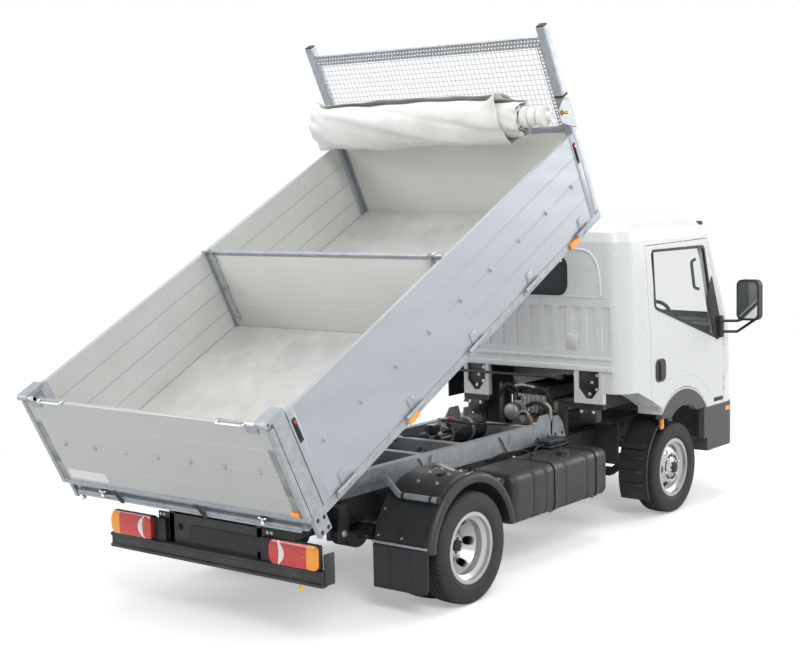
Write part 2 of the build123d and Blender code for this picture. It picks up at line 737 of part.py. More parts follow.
# Rolled tarpaulin across the bed's front, on its tube
tarp_up, tarp_radius = 800, 150
tarp_along = head_wall_rear - tarp_radius - seat_gap
tarp_left, tarp_right, tube_right, tube_radius = 985, -780, -1000, 75
with BuildPart() as tarp_roll:
    rod(bed_side.offset(-tarp_left), tarp_along, tarp_up, tarp_radius, tarp_left - tarp_right)
    rod(bed_side.offset(-tarp_right), tarp_along, tarp_up, tube_radius, tarp_right - tube_right)
tarp_roll.part.label = "tarp_roll"
export_step(tarp_roll.part, "parts/tarp_roll.step")

# Side boards: hinged along their foot, with a row of lugs outside
lug_radius, lug_high, lug_count = 16, 14, 9
with BuildPart() as board_left:
    block(bed, (board_rear, board_front), (board_inner, board_outer), (0, board_height))
    for place in knuckle_places:
        rod(
            bed_end.offset(place - knuckle_long / 2),
            knuckle_y,
            knuckle_z,
            knuckle_radius,
            knuckle_long,
        )
        block(
            bed,
            (place - knuckle_long / 2, place + knuckle_long / 2),
            (board_outer, knuckle_y),
            (knuckle_z, tab_reach),
        )
    for step in range(lug_count):
        place = board_rear + (step + 0.5) * (board_front - board_rear) / lug_count
        rod(bed_side.offset(-board_outer - lug_high), place, board_height / 2, lug_radius, lug_high)
board_left.part.label = "board_left"
export_step(board_left.part, "parts/board_left.step")

with BuildPart() as board_right:
    mirror(board_left.part, about=Plane.XZ)
board_right.part.label = "board_right"
export_step(board_right.part, "parts/board_right.step")

# Tailgate: hinged along its top, with its own lugs
gate_low = -21
with BuildPart() as tailgate:
    block(bed, (0, board_thick), (-board_outer, board_outer), (gate_low, board_height))
    # corners cut away round the ears, and the pins that turn in them
    for near in (-board_outer - over, gate_knuckle_half):
        block(
            bed,
            (-over, board_thick + over),
            (near, near + board_outer + over - gate_knuckle_half),
            (gate_pin_up - gate_ear_radius - play, board_height + over),
            Mode.SUBTRACT,
        )
    for near in (-board_outer, gate_knuckle_half - over):
        rod(
            bed_side.offset(-near - board_outer + gate_knuckle_half - over),
            gate_pin_along,
            gate_pin_up,
            gate_pin_radius,
            board_outer - gate_knuckle_half + over,
        )
    for near in (-gate_knuckle_half, gate_knuckle_half - knuckle_long):
        rod(
            bed_side.offset(-near - knuckle_long),
            gate_pin_along,
            gate_pin_up,
            gate_pin_radius,
            knuckle_long,
        )
        tab_up = (board_height - over, gate_pin_up)
        block(bed, (gate_pin_along, board_thick / 2), (near, near + knuckle_long), tab_up)
tailgate.part.label = "tailgate"
export_step(tailgate.part, "parts/tailgate.step")

# Tipping ram: a barrel on the chassis and four stages that slide out of each other
tipped = hypot(ram_head_along - hinge_along, hinge_below - ram_head_down)
tipped_angle = tilt + atan2(hinge_below - ram_head_down, ram_head_along - hinge_along)
ram_head_x = hinge_x + tipped * cos(tipped_angle)
ram_head_z = hinge_z + tipped * sin(tipped_angle)
ram_length = hypot(ram_head_x - ram_x, ram_head_z - ram_z)
ram_plane = Plane(
    origin=(axle_x + ram_x, 0, ram_z),
    x_dir=(0, 1, 0),
    z_dir=(ram_head_x - ram_x, 0, ram_head_z - ram_z),
)
ram_side = Plane(
    origin=(axle_x + ram_x, 0, ram_z),
    x_dir=(ram_head_x - ram_x, 0, ram_head_z - ram_z),
    z_dir=(0, -1, 0),
)
ram_per_radian = 1300
barrel_foot, stage_foot, stage_long = 35, 45, 290
stage_shift = ram_per_radian * tilt / stage_count
ram_eye_radius, ram_head_radius = 32, 26
with BuildPart() as ram_barrel:
    rod(ram_plane.offset(barrel_foot), 0, 0, barrel_radius, stage_long + over / 2)
    rod(
        ram_plane.offset(stage_foot),
        0,
        0,
        barrel_radius - stage_wall,
        stage_long + over,
        Mode.SUBTRACT,
    )
    block_half = ram_ear_half - seat_gap
    rod(ram_side.offset(-block_half), 0, 0, ram_eye_radius, 2 * block_half)
    with BuildSketch(ram_plane):
        Rectangle(2 * block_half, 2 * ram_eye_radius)
    extrude(amount=stage_foot - over / 4)
    bore_half = block_half + over
    rod(ram_side.offset(-bore_half), 0, 0, ram_pin_radius + pin_play, 2 * bore_half, Mode.SUBTRACT)
ram_barrel.part.label = "ram_barrel"
export_step(ram_barrel.part, "parts/ram_barrel.step")

for stage in range(1, stage_count + 1):
    outer = barrel_radius - stage * (stage_wall + stage_play)
    foot = stage_foot + stage * stage_shift
    with BuildPart() as ram_stage:
        if stage < stage_count:
            rod(ram_plane.offset(foot), 0, 0, outer, stage_long)
            rod(
                ram_plane.offset(foot - over),
                0,
                0,
                outer - stage_wall,
                stage_long + 2 * over,
                Mode.SUBTRACT,
            )
        else:
            rod(ram_plane.offset(foot), 0, 0, outer, ram_length - foot)
            rod(
                ram_side.offset(-ram_cheek_half + seat_gap),
                ram_length,
                0,
                ram_head_radius,
                2 * (ram_cheek_half - seat_gap),
            )
    ram_stage.part.label = f"ram_stage_{stage}"
    export_step(ram_stage.part, f"parts/ram_stage_{stage}.step")

# Cab: sections from above, each a rear wall, two sides and a bowed front with rounded corners.
# Columns: height, rear, half width, front at the corner, front in the middle
nose_corner, nose_middle, belt_corner, belt_middle = 880, 1008, 872, 950
eaves_height, eaves_in, eaves_corner, eaves_middle = 2120, 25, 560, 620
# columns: down from the roof, rear edge forwards, side in, and both front places back from the eaves
roof_rows = ((82, 18, 50, 40, 45), (27, 70, 105, 95, 105), (0, 170, 205, 195, 210))
cab_sections = [
    (cab_foot, cab_rear, cab_half, nose_corner, nose_middle),
    (belt_height, cab_rear, cab_half, belt_corner, belt_middle),
    (eaves_height, cab_rear, cab_half - eaves_in, eaves_corner, eaves_middle),
]
for down, forwards, inwards, corner_back, middle_back in roof_rows:
    cab_sections.append(
        (
            roof_height - down,
            cab_rear + forwards,
            cab_half - inwards,
            eaves_corner - corner_back,
            eaves_middle - middle_back,
        )
    )
cab_corner = 150


def cab_body(inset, low_inset=0):
    """The cab's outer form, taken in by an even amount all round."""
    with BuildPart(mode=Mode.PRIVATE) as body:
        for height, rear, half, corner, middle in cab_sections:
            up = height + (low_inset if height == cab_foot else 0)
            up -= inset if height > belt_height else 0
            with BuildSketch(nose.offset(up)):
                with BuildLine():
                    left, right = half - inset, -half + inset
                    ThreePointArc((corner - inset, left), (middle - inset, 0), (corner - inset, right))
                    Polyline(
                        (corner - inset, right),
                        (rear + inset, right),
                        (rear + inset, left),
                        (corner - inset, left),
                    )
                make_face()
                fillet(vertices(), radius=cab_corner - inset)
        loft(ruled=True)
    return body.part


cab_outer = cab_body(0)
cab_inner = cab_body(cab_wall)
cab_door_back = cab_body(cab_wall + play)

# Outlines of the door and its window, seen from the right
door_gap = 5
door_arch = arch_radius + 20
door_front, door_rear_foot, door_rear_knee, door_rear_top = 695, -472, -490, -520
door_knee_height, door_top_rear, door_top_front, door_top_x = 1540, 2076, 2090, 437
door_points = (
    (door_rear_foot, cab_foot - over),
    (door_rear_knee, door_knee_height),
    (door_rear_top, door_top_rear),
    (door_top_x, door_top_front),
    (door_front, belt_height),
    (door_front, cab_foot - over),
)
# corners of the door's window, as places forwards from the door's rear foot and heights
window_rows = ((70, 1618), (30, 2036), (864, 2030), (1032, 1310))
window_points = [(door_rear_foot + forwards, height) for forwards, height in window_rows]
window_round = 30
sill_high, sill_step, sill_low, sill_level_x, sill_front_x = 1022, 935, 859, -680, -321
sill_points = (
    (cab_rear - over, cab_foot - 2 * over),
    (cab_rear - over, sill_high),
    (sill_level_x, sill_high),
    (door_rear_foot, sill_step),
    (sill_front_x, sill_low),
    (sill_front_x, cab_foot - 2 * over),
)
screen_half, screen_low, screen_high = 770, 1420, 2060
rear_window_half, rear_window_low, rear_window_high, rear_window_round = 405, 1740, 2010, 70
pocket_count, pocket_pitch, pocket_wide, pocket_deep = 13, 123, 67, 9
pocket_low, pocket_high, pocket_round = 1330, 1650, 10
grille_half, grille_low, grille_high = 500, 850, 1020
lamp_inner, lamp_rear, head_lamp_low, head_lamp_high = 560, 735, 800, 1010
hump_half, hump_front, hump_top, floor_gauge = 700, 80, 1180, 40
front_region, arch_floor_front = 420, 410
door_hinge_x, door_hinge_y = door_front + 3, cab_half
door_hinge_levels, door_hinge_long, door_hinge_end = (900, 1250), 60, 20
door_hinge_radius, door_pin_radius = 9, 5
pane_gap = seat_gap


def door_prism(gap, depth):
    """The door's outline, grown by a gap, as a prism out to the right."""
    with BuildPart(mode=Mode.PRIVATE) as prism:
        with BuildSketch(nose_side.offset(depth)):
            with BuildLine():
                Polyline(*door_points, close=True)
            make_face()
            if gap:
                offset(amount=gap, kind=Kind.INTERSECTION)
            with Locations((arch_x, arch_z)):
                Circle(door_arch - gap, mode=Mode.SUBTRACT)
            with BuildLine():
                Polyline(*sill_points, close=True)
            make_face(mode=Mode.SUBTRACT)
        extrude(amount=2 * cab_half - depth)
    return prism.part


def door_hinge_rod(level, out, radius, high, mode=Mode.ADD):
    """A round piece on a door's hinge axis, from one level up."""
    return rod(nose.offset(level), door_hinge_x, out * door_hinge_y, radius, high, mode)


with BuildPart(mode=Mode.PRIVATE) as door_cutter:
    add(door_prism(door_gap, cab_half / 2))
    add(cab_door_back, mode=Mode.SUBTRACT)

with BuildPart() as cab_shell:
    add(cab_outer)
    # the cavity stands on the floor, which steps up over the wheels and the engine
    with BuildPart(mode=Mode.PRIVATE) as cavity:
        add(cab_inner)
        under = cab_foot - over
        wide = (-cab_half, cab_half)
        block(nose, (cab_rear, bumper_front), wide, (under, cab_foot + floor_gauge), Mode.SUBTRACT)
        for front, top in ((arch_floor_front, arch_z + arch_radius), (hump_front + floor_gauge, hump_top)):
            block(nose, (cab_rear, front), wide, (under, top + floor_gauge), Mode.SUBTRACT)
    add(cavity.part, mode=Mode.SUBTRACT)
    # underneath: the skirt's line, the wheel arches and the engine bay
    outline(nose_side.offset(-cab_half - over), sill_points, 2 * (cab_half + over), Mode.SUBTRACT)
    rod(nose_side.offset(-cab_half - over), arch_x, arch_z, arch_radius, 2 * (cab_half + over), Mode.SUBTRACT)
    bay_along = (cab_rear - over, hump_front)
    block(nose, bay_along, (-hump_half, hump_half), (cab_foot - over, hump_top), Mode.SUBTRACT)
    # hoops at the rear, and arms down to the front pivots
    for near, far in cab_hoops:
        outline(
            nose_end.offset(shelf_rear),
            (
                (near, hoop_high),
                (near, hoop_low),
                (far, hoop_low),
                (far, hoop_high),
                (far - hoop_wide, hoop_high),
                (far - hoop_wide, hoop_low + hoop_wide),
                (near + hoop_wide, hoop_low + hoop_wide),
                (near + hoop_wide, hoop_high),
            ),
            hoop_deep,
        )
    arm_near = rail_outer + seat_gap
    for near in (-arm_near - hanger_thick, arm_near):
        rod(nose_side.offset(-near - hanger_thick), cab_pivot_x, cab_pivot_z, cab_pivot_plate, hanger_thick)
        block(
            nose,
            (cab_pivot_x - cab_pivot_plate, cab_pivot_x + cab_pivot_plate),
            (near, near + hanger_thick),
            (cab_pivot_z, cab_foot + over),
        )
        rod(
            nose_side.offset(-near - hanger_thick),
            cab_pivot_x,
            cab_pivot_z,
            cab_pivot_radius + pin_play,
            hanger_thick,
            Mode.SUBTRACT,
        )
    # doors, windscreen, rear window, grille and headlamps
    add(door_cutter.part, mode=Mode.SUBTRACT)
    mirror(door_cutter.part, about=Plane.XZ, mode=Mode.SUBTRACT)
    outline(
        nose_end.offset(front_region),
        (
            (-screen_half, screen_low),
            (screen_half, screen_low),
            (screen_half - window_round, screen_high),
            (-screen_half + window_round, screen_high),
        ),
        bumper_front - front_region,
        Mode.SUBTRACT,
        window_round,
    )
    outline(
        nose_end.offset(cab_rear - over),
        (
            (-rear_window_half, rear_window_low),
            (rear_window_half, rear_window_low),
            (rear_window_half, rear_window_high),
            (-rear_window_half, rear_window_high),
        ),
        2 * cab_wall,
        Mode.SUBTRACT,
        rear_window_round,
    )
    ahead = (hump_front + cab_wall, bumper_front)
    block(nose, ahead, (-grille_half, grille_half), (grille_low, grille_high), Mode.SUBTRACT)
    for near, far in ((-cab_half, -lamp_inner), (lamp_inner, cab_half)):
        lamp_along = (lamp_rear - pane_gap, bumper_front)
        block(nose, lamp_along, (near, far), (head_lamp_low, head_lamp_high), Mode.SUBTRACT)
    # pressed pockets across the rear wall
    with BuildSketch(nose_end.offset(cab_rear - over)) as pockets:
        with Locations((0, (pocket_low + pocket_high) / 2)):
            with GridLocations(pocket_pitch, pocket_pitch, pocket_count, 1):
                RectangleRounded(pocket_wide, pocket_high - pocket_low, pocket_round)
    extrude(pockets.sketch, amount=over + pocket_deep, mode=Mode.SUBTRACT)
    # the doors' hinges: pockets for the doors' own barrels, then the fixed knuckles and pins
    for out in (-1, 1):
        for level in door_hinge_levels:
            door_hinge_rod(level, out, door_hinge_radius + play, door_hinge_long, Mode.SUBTRACT)
            for start in (level - door_hinge_end, level + door_hinge_long + seat_gap):
                door_hinge_rod(start, out, door_hinge_radius, door_hinge_end - seat_gap)
            door_hinge_rod(level - over, out, door_pin_radius, door_hinge_long + 2 * over)
cab_shell.part.label = "cab_shell"
export_step(cab_shell.part, "parts/cab_shell.step")

# Windscreen and rear window, each a pane within the wall's thickness
pane_out, pane_in = 14, 20
pane_outer = cab_body(pane_out)
pane_inner = cab_body(pane_in)
with BuildPart() as cab_glass:
    outline(
        nose_end.offset(front_region),
        (
            (-screen_half + pane_gap, screen_low + pane_gap),
            (screen_half - pane_gap, screen_low + pane_gap),
            (screen_half - window_round - pane_gap, screen_high - pane_gap),
            (-screen_half + window_round + pane_gap, screen_high - pane_gap),
        ),
        bumper_front - front_region,
        round_by=window_round - pane_gap,
    )
    outline(
        nose_end.offset(cab_rear - over),
        (
            (-rear_window_half + pane_gap, rear_window_low + pane_gap),
            (rear_window_half - pane_gap, rear_window_low + pane_gap),
            (rear_window_half - pane_gap, rear_window_high - pane_gap),
            (-rear_window_half + pane_gap, rear_window_high - pane_gap),
        ),
        2 * cab_wall,
        round_by=rear_window_round - pane_gap,
    )
    add(pane_outer, mode=Mode.INTERSECT)
    add(pane_inner, mode=Mode.SUBTRACT)
cab_glass.part.label = "cab_glass"
export_step(cab_glass.part, "parts/cab_glass.step")

# Doors: the cab's side wall within the door's outline, with the window cut out
with BuildPart() as door_right:
    add(cab_outer)
    add(cab_inner, mode=Mode.SUBTRACT)
    add(door_prism(0, cab_half / 2), mode=Mode.INTERSECT)
    outline(nose_side.offset(cab_half / 2), window_points, cab_half, Mode.SUBTRACT, window_round)
    # the hinges' barrels, clear of the cab's own knuckles
    for level in door_hinge_levels:
        for start in (level - door_hinge_end - play, level + door_hinge_long):
            door_hinge_rod(start, -1, door_hinge_radius + play, door_hinge_end + play, Mode.SUBTRACT)
        door_hinge_rod(level, -1, door_hinge_radius, door_hinge_long)
        bore_long = door_hinge_long + 2 * over
        door_hinge_rod(level - over, -1, door_pin_radius + pin_play, bore_long, Mode.SUBTRACT)
door_right.part.label = "door_right"
export_step(door_right.part, "parts/door_right.step")

with BuildPart() as door_left:
    mirror(door_right.part, about=Plane.XZ)
door_left.part.label = "door_left"
export_step(door_left.part, "parts/door_left.step")

# Door panes: flat, within the upper wall's slope, and cut to the windows' outline
pane_slope = eaves_in / (eaves_height - belt_height)
pane_heights = (belt_height - 2 * window_round - over, eaves_height)
with BuildPart() as door_glass_right:
    with BuildSketch(nose_side.offset(cab_half / 2)) as window_sketch:
        with BuildLine():
            Polyline(*window_points, close=True)
        make_face()
        fillet(vertices(), radius=window_round)
        offset(amount=-pane_gap)
    extrude(amount=cab_half)
    with BuildSketch(nose_end.offset(door_rear_top)) as pane_section:
        with BuildLine():
            places = [
                (-cab_half + inset + pane_slope * (height - belt_height), height)
                for inset, heights in ((pane_out, pane_heights), (pane_in, reversed(pane_heights)))
                for height in heights
            ]
            Polyline(*places, close=True)
        make_face()
    extrude(pane_section.sketch, amount=door_front - door_rear_top, mode=Mode.INTERSECT)
door_glass_right.part.label = "door_glass_right"
export_step(door_glass_right.part, "parts/door_glass_right.step")

with BuildPart() as door_glass_left:
    mirror(door_glass_right.part, about=Plane.XZ)
door_glass_left.part.label = "door_glass_left"
export_step(door_glass_left.part, "parts/door_glass_left.step")

# Mirrors: a tall head on two bent tubes, carried by a foot on the door
mirror_x, mirror_y, mirror_low, mirror_high = 680, 1140, 1440, 1760
mirror_wide, mirror_thick = 190, 90
arm_radius, arm_levels, arm_foot_x = 11, (1345, 1430), 620
arm_knee = 1030
with BuildPart() as mirror_right:
    block(
        nose,
        (mirror_x - mirror_thick / 2, mirror_x + mirror_thick / 2),
        (-mirror_y - mirror_wide / 2, -mirror_y + mirror_wide / 2),
        (mirror_low, mirror_high),
    )
    fillet(edges().filter_by(Axis.X), radius=mirror_wide / 4)
    fillet(faces().sort_by(Axis.X)[-1].edges(), radius=mirror_thick / 3)
    block(
        nose,
        (arm_foot_x - 2 * arm_radius, arm_foot_x + 2 * arm_radius),
        (-cab_half - 2 * arm_radius, -cab_half - seat_gap),
        (arm_levels[0] - 2 * arm_radius, arm_levels[1] + 2 * arm_radius),
    )
    for level in arm_levels:
        spread = mirror_wide / 4 if level == arm_levels[0] else -mirror_wide / 4
        with BuildLine() as arm:
            FilletPolyline(
                (nose_x + arm_foot_x, -cab_half - arm_radius, level),
                (nose_x + mirror_x, -arm_knee, level),
                (nose_x + mirror_x, -mirror_y - spread, mirror_low + over),
                radius=2 * arm_radius,
            )
        with BuildSketch(Plane(origin=arm.line @ 0, z_dir=arm.line % 0)) as arm_section:
            Circle(arm_radius)
        sweep(arm_section.sketch, path=arm.line)
mirror_right.part.label = "mirror_right"
export_step(mirror_right.part, "parts/mirror_right.step")

with BuildPart() as mirror_left:
    mirror(mirror_right.part, about=Plane.XZ)
mirror_left.part.label = "mirror_left"
export_step(mirror_left.part, "parts/mirror_left.step")

# Bumper: wraps the cab's nose below the body, with the side panel and step before each arch
bumper_low, bumper_wrap = 420, 665
bumper_corner, bumper_thick = 892, 50
panel_rear, panel_low, step_rear, step_deep = 360, 525, 410, 165
with BuildPart() as bumper:
    with BuildSketch(nose.offset(bumper_low)):
        with BuildLine():
            ThreePointArc((bumper_corner, cab_half), (bumper_front, 0), (bumper_corner, -cab_half))
            Polyline(
                (bumper_corner, -cab_half),
                (bumper_wrap, -cab_half),
                (bumper_wrap, cab_half),
                (bumper_corner, cab_half),
            )
        make_face()
        fillet(vertices().group_by(Axis.X)[-1], radius=cab_corner)
    extrude(amount=cab_foot - seat_gap - bumper_low)
    with BuildSketch(nose.offset(bumper_low - over)):
        with BuildLine():
            ThreePointArc(
                (bumper_corner - bumper_thick, cab_half - bumper_thick),
                (bumper_front - bumper_thick, 0),
                (bumper_corner - bumper_thick, -cab_half + bumper_thick),
            )
            Polyline(
                (bumper_corner - bumper_thick, -cab_half + bumper_thick),
                (bumper_wrap - over, -cab_half + bumper_thick),
                (bumper_wrap - over, cab_half - bumper_thick),
                (bumper_corner - bumper_thick, cab_half - bumper_thick),
            )
        make_face()
        fillet(vertices().group_by(Axis.X)[-1], radius=cab_corner - bumper_thick)
    extrude(amount=cab_foot - bumper_low + 2 * over, mode=Mode.SUBTRACT)
    for near, far in ((-cab_half, -cab_half + bumper_thick), (cab_half - bumper_thick, cab_half)):
        block(nose, (panel_rear, bumper_wrap), (near, far), (panel_low, cab_foot - seat_gap))
    for near, far in ((-cab_half, -cab_half + step_deep), (cab_half - step_deep, cab_half)):
        block(nose, (step_rear, bumper_wrap + over), (near, far), (bumper_low, panel_low))
bumper.part.label = "bumper"
export_step(bumper.part, "parts/bumper.step")

# Grille: horizontal bars within its opening in the front wall
grille_bars, grille_bar = 5, 14
cab_skin = cab_outer - pane_inner
with BuildPart() as grille_space:
    block(
        nose,
        (hump_front + 2 * cab_wall, bumper_front),
        (-grille_half + pane_gap, grille_half - pane_gap),
        (grille_low + pane_gap, grille_high - pane_gap),
    )
with BuildPart() as grille:
    add(cab_skin & grille_space.part)
    slot = (grille_high - grille_low - (grille_bars + 1) * grille_bar) / grille_bars
    for bar in range(grille_bars):
        low = grille_low + grille_bar + bar * (slot + grille_bar)
        block(
            nose,
            (hump_front, bumper_front),
            (-grille_half + 2 * grille_bar, grille_half - 2 * grille_bar),
            (low, low + slot),
            Mode.SUBTRACT,
        )
grille.part.label = "grille"
export_step(grille.part, "parts/grille.step")

# Arch flares: a dark band round each front wheel arch
flare_inner, flare_out, flare_deep = 335, 912, 50
with BuildPart() as cab_flares:
    with BuildSketch(nose_side.offset(flare_out - flare_deep)):
        with Locations((arch_x, arch_z)):
            Circle(arch_radius - seat_gap)
            Circle(flare_inner, mode=Mode.SUBTRACT)
        with BuildLine():
            Polyline(
                (arch_x - 2 * arch_radius, cab_foot + play),
                (arch_x + 2 * arch_radius, cab_foot + play),
                (arch_x + 2 * arch_radius, arch_z - 2 * arch_radius),
                (arch_x - 2 * arch_radius, arch_z - 2 * arch_radius),
                close=True,
            )
        make_face(mode=Mode.SUBTRACT)
    extrude(amount=flare_deep)
    mirror(about=Plane.XZ)
cab_flares.part.label = "cab_flares"
export_step(cab_flares.part, "parts/cab_flares.step")

# Front mudguards: an arc behind each front wheel, on an arm from the chassis rail
front_guard_radius, front_guard_inner, front_guard_outer = 440, 600, 842
front_guard = (108, 205)
guard_arm, guard_arm_turn = 40, 150
with BuildPart() as front_mudguards:
    guard_band(
        wheelbase,
        hub_z,
        front_guard_radius,
        guard_thick,
        front_guard,
        -front_guard_outer,
        front_guard_outer - front_guard_inner,
    )
    arm_x = wheelbase + (front_guard_radius + guard_thick) * cos(radians(guard_arm_turn))
    arm_z = hub_z + (front_guard_radius + guard_thick) * sin(radians(guard_arm_turn))
    block(
        truck,
        (arm_x - guard_arm, arm_x),
        (rail_outer + seat_gap, front_guard_outer - guard_arm),
        (arm_z - guard_arm / 2, arm_z + guard_arm / 2),
    )
    mirror(about=Plane.XZ)
front_mudguards.part.label = "front_mudguards"
export_step(front_mudguards.part, "parts/front_mudguards.step")

# Dashboard against the cab's front wall, with the steering column and wheel on the right
dash_rear, dash_low, dash_high = 540, 1180, 1400
wheel_x, wheel_y, wheel_z, wheel_lean = 310, -420, 1430, 48
steer_radius, steer_rim, column_radius = 205, 15, 28
with BuildPart() as dash_space:
    block(nose, (dash_rear, bumper_front), (-cab_half, cab_half), (dash_low, dash_high))
with BuildPart() as dashboard:
    add(cab_body(cab_wall + seat_gap) & dash_space.part)
    steer_plane = Plane(
        origin=(nose_x + wheel_x, wheel_y, wheel_z),
        x_dir=(0, 1, 0),
        z_dir=(sin(radians(wheel_lean)), 0, -cos(radians(wheel_lean))),
    )
    with BuildSketch(steer_plane) as column:
        Circle(column_radius)
    extrude(column.sketch, amount=(dash_rear - wheel_x) / sin(radians(wheel_lean)) + over)
    rim_plane = Plane(origin=steer_plane.origin, x_dir=steer_plane.x_dir, z_dir=steer_plane.y_dir)
    with BuildSketch(rim_plane) as steer_ring:
        with Locations((steer_radius, 0)):
            Circle(steer_rim)
    revolve(steer_ring.sketch, axis=Axis(steer_plane.origin, steer_plane.z_dir))
    with BuildSketch(steer_plane.offset(-steer_rim / 2)) as spoke:
        Rectangle(2 * steer_radius, 3 * steer_rim)
    extrude(spoke.sketch, amount=steer_rim)
dashboard.part.label = "dashboard"
export_step(dashboard.part, "parts/dashboard.step")

# Seats on the engine cover
seat_rear, seat_front, seat_low, seat_high = -320, 100, 1220, 1350
seat_back_top, seat_back_thick = 1950, 120
seat_places = ((-680, -180), (-120, 680))
with BuildPart() as seats:
    for near, far in seat_places:
        block(nose, (seat_rear, seat_front), (near, far), (seat_low + seat_gap, seat_high))
        back_along = (seat_rear - seat_back_thick, seat_rear + over)
        block(nose, back_along, (near, far), (seat_low + seat_gap, seat_back_top))
    fillet(edges().filter_by(Axis.Y), radius=over)
seats.part.label = "seats"
export_step(seats.part, "parts/seats.step")

# Headlamps at the nose's corners
with BuildPart() as lamp_space:
    block(
        nose,
        (lamp_rear, bumper_front),
        (lamp_inner + pane_gap, cab_half),
        (head_lamp_low + pane_gap, head_lamp_high - pane_gap),
    )
with BuildPart() as head_lamps:
    add(cab_skin & lamp_space.part)
    mirror(about=Plane.XZ)
head_lamps.part.label = "head_lamps"
export_step(head_lamps.part, "parts/head_lamps.step")

# Steering knuckles: a yoke round the axle's boss, the king pin, and the flange that faces the hub
yoke_thick, yoke_half, knuckle_face = 22, 34, 700
with BuildPart() as knuckle_left:
    for low in (hub_z - boss_half - seat_gap - yoke_thick, hub_z + boss_half + seat_gap):
        rod(truck.offset(low), wheelbase, kingpin_half, yoke_half, yoke_thick)
        block(
            truck,
            (wheelbase - yoke_half, wheelbase + yoke_half),
            (kingpin_half, knuckle_face + over),
            (low, low + yoke_thick),
        )
    block(
        truck,
        (wheelbase - yoke_half, wheelbase + yoke_half),
        (kingpin_half + boss_radius + play / 2, knuckle_face + over),
        (hub_z - boss_half - yoke_thick, hub_z + boss_half + yoke_thick),
    )
    rod(
        truck.offset(hub_z - boss_half - over),
        wheelbase,
        kingpin_half,
        kingpin_radius,
        2 * (boss_half + over),
    )
    rod(side.offset(-knuckle_face - 2 * over), wheelbase, hub_z, 2 * yoke_half, 2 * over)
knuckle_left.part.label = "knuckle_left"
export_step(knuckle_left.part, "parts/knuckle_left.step")

with BuildPart() as knuckle_right:
    mirror(knuckle_left.part, about=Plane.XZ)
knuckle_right.part.label = "knuckle_right"
export_step(knuckle_right.part, "parts/knuckle_right.step")

# Tyres and rims, turned about the axles
bead_in = 12
# columns: in from the tyre's side, down from its tread
tyre_rows = ((0, 70), (3, 40), (22, 6), (40, 0))
bead = rim_width / 2 - bead_in
tyre_outline = [(bead, rim_seat_radius + seat_gap), (bead, rim_flange_radius)]
tyre_outline += [(tyre_width / 2 - inwards, tyre_radius - down) for inwards, down in tyre_rows]


def turned(x, y, outward, outlines):
    """Rings turned about a wheel's axis, from outlines of places out from its middle, and radii."""
    turning = Plane(origin=(axle_x + x, y, hub_z), x_dir=(0, outward, 0), z_dir=(1, 0, 0))
    for points in outlines:
        with BuildSketch(turning) as section:
            with BuildLine():
                Polyline(*points, close=True)
            make_face()
        revolve(section.sketch, axis=Axis((axle_x + x, y, hub_z), (0, 1, 0)))


def both_ways(points):
    """An outline that starts on one side of the wheel's middle, carried on over the other."""
    return [*points, *((-out, radius) for out, radius in reversed(points))]


# The rim's barrel. Columns: in from the rim's edge, radius, on its outside and then on its inside
rim_well_radius, rim_gauge = 178, 6
rim_flat, rim_flange_foot, rim_hump, rim_well_in = 6, 8, 34, 50
rim_out_rows = (
    (0, rim_flange_radius),
    (rim_flat, rim_flange_radius),
    (rim_flange_foot, rim_seat_radius),
    (rim_hump, rim_seat_radius),
    (rim_well_in, rim_well_radius),
)
rim_in_rows = (
    (0, rim_seat_radius - rim_gauge),
    (rim_hump - rim_gauge, rim_seat_radius - rim_gauge),
    (rim_well_in - rim_gauge, rim_well_radius - rim_gauge),
)
rim_outside = both_ways([(rim_width / 2 - inwards, radius) for inwards, radius in rim_out_rows])
rim_inside = both_ways([(rim_width / 2 - inwards, radius) for inwards, radius in rim_in_rows])
rim_barrel = [*rim_outside, *reversed(rim_inside)]


def hand_holes(x, start, depth):
    """Oval holes through the discs, in a ring round a wheel's axis."""
    with BuildSketch(side.offset(start)) as holes:
        with Locations((x, hub_z)):
            with PolarLocations(hole_circle, hole_count):
                with Locations(Rotation(0, 0, 90)):
                    SlotOverall(hole_long, 2 * hole_radius)
    extrude(holes.sketch, amount=depth, mode=Mode.SUBTRACT)


hole_radius, hole_long, hole_circle, hole_count = 20, 58, 145, 6
disc_foot, hub_radius, hub_thick = 175, 60, 78
crown_edge, crown_gauge, crown_out, crown_radius = 10, 12, 50, 118
crown_back, crown_hole = 40, 80
front_disc = (
    (crown_edge, disc_foot),
    (crown_edge + crown_gauge, disc_foot),
    (crown_out + crown_gauge, crown_radius),
    (crown_back + crown_gauge, crown_hole),
    (crown_back, crown_hole),
    (crown_out, crown_radius),
)
front_face = -front_track_half + knuckle_face + 2 * over + seat_gap
cover_reach, cover_radius, cover_foot = 80, 55, 88
front_hub = (
    (front_face, 0),
    (cover_reach, 0),
    (cover_reach, cover_radius),
    (crown_back + crown_gauge, cover_foot),
    (front_face, cover_foot),
)
with BuildPart() as tyre_front_left:
    turned(wheelbase, front_track_half, 1, [both_ways(tyre_outline)])
with BuildPart() as rim_front_left:
    turned(wheelbase, front_track_half, 1, (rim_barrel, front_disc, front_hub))
    hand_holes(wheelbase, -front_track_half - rim_width / 2, rim_width / 2)

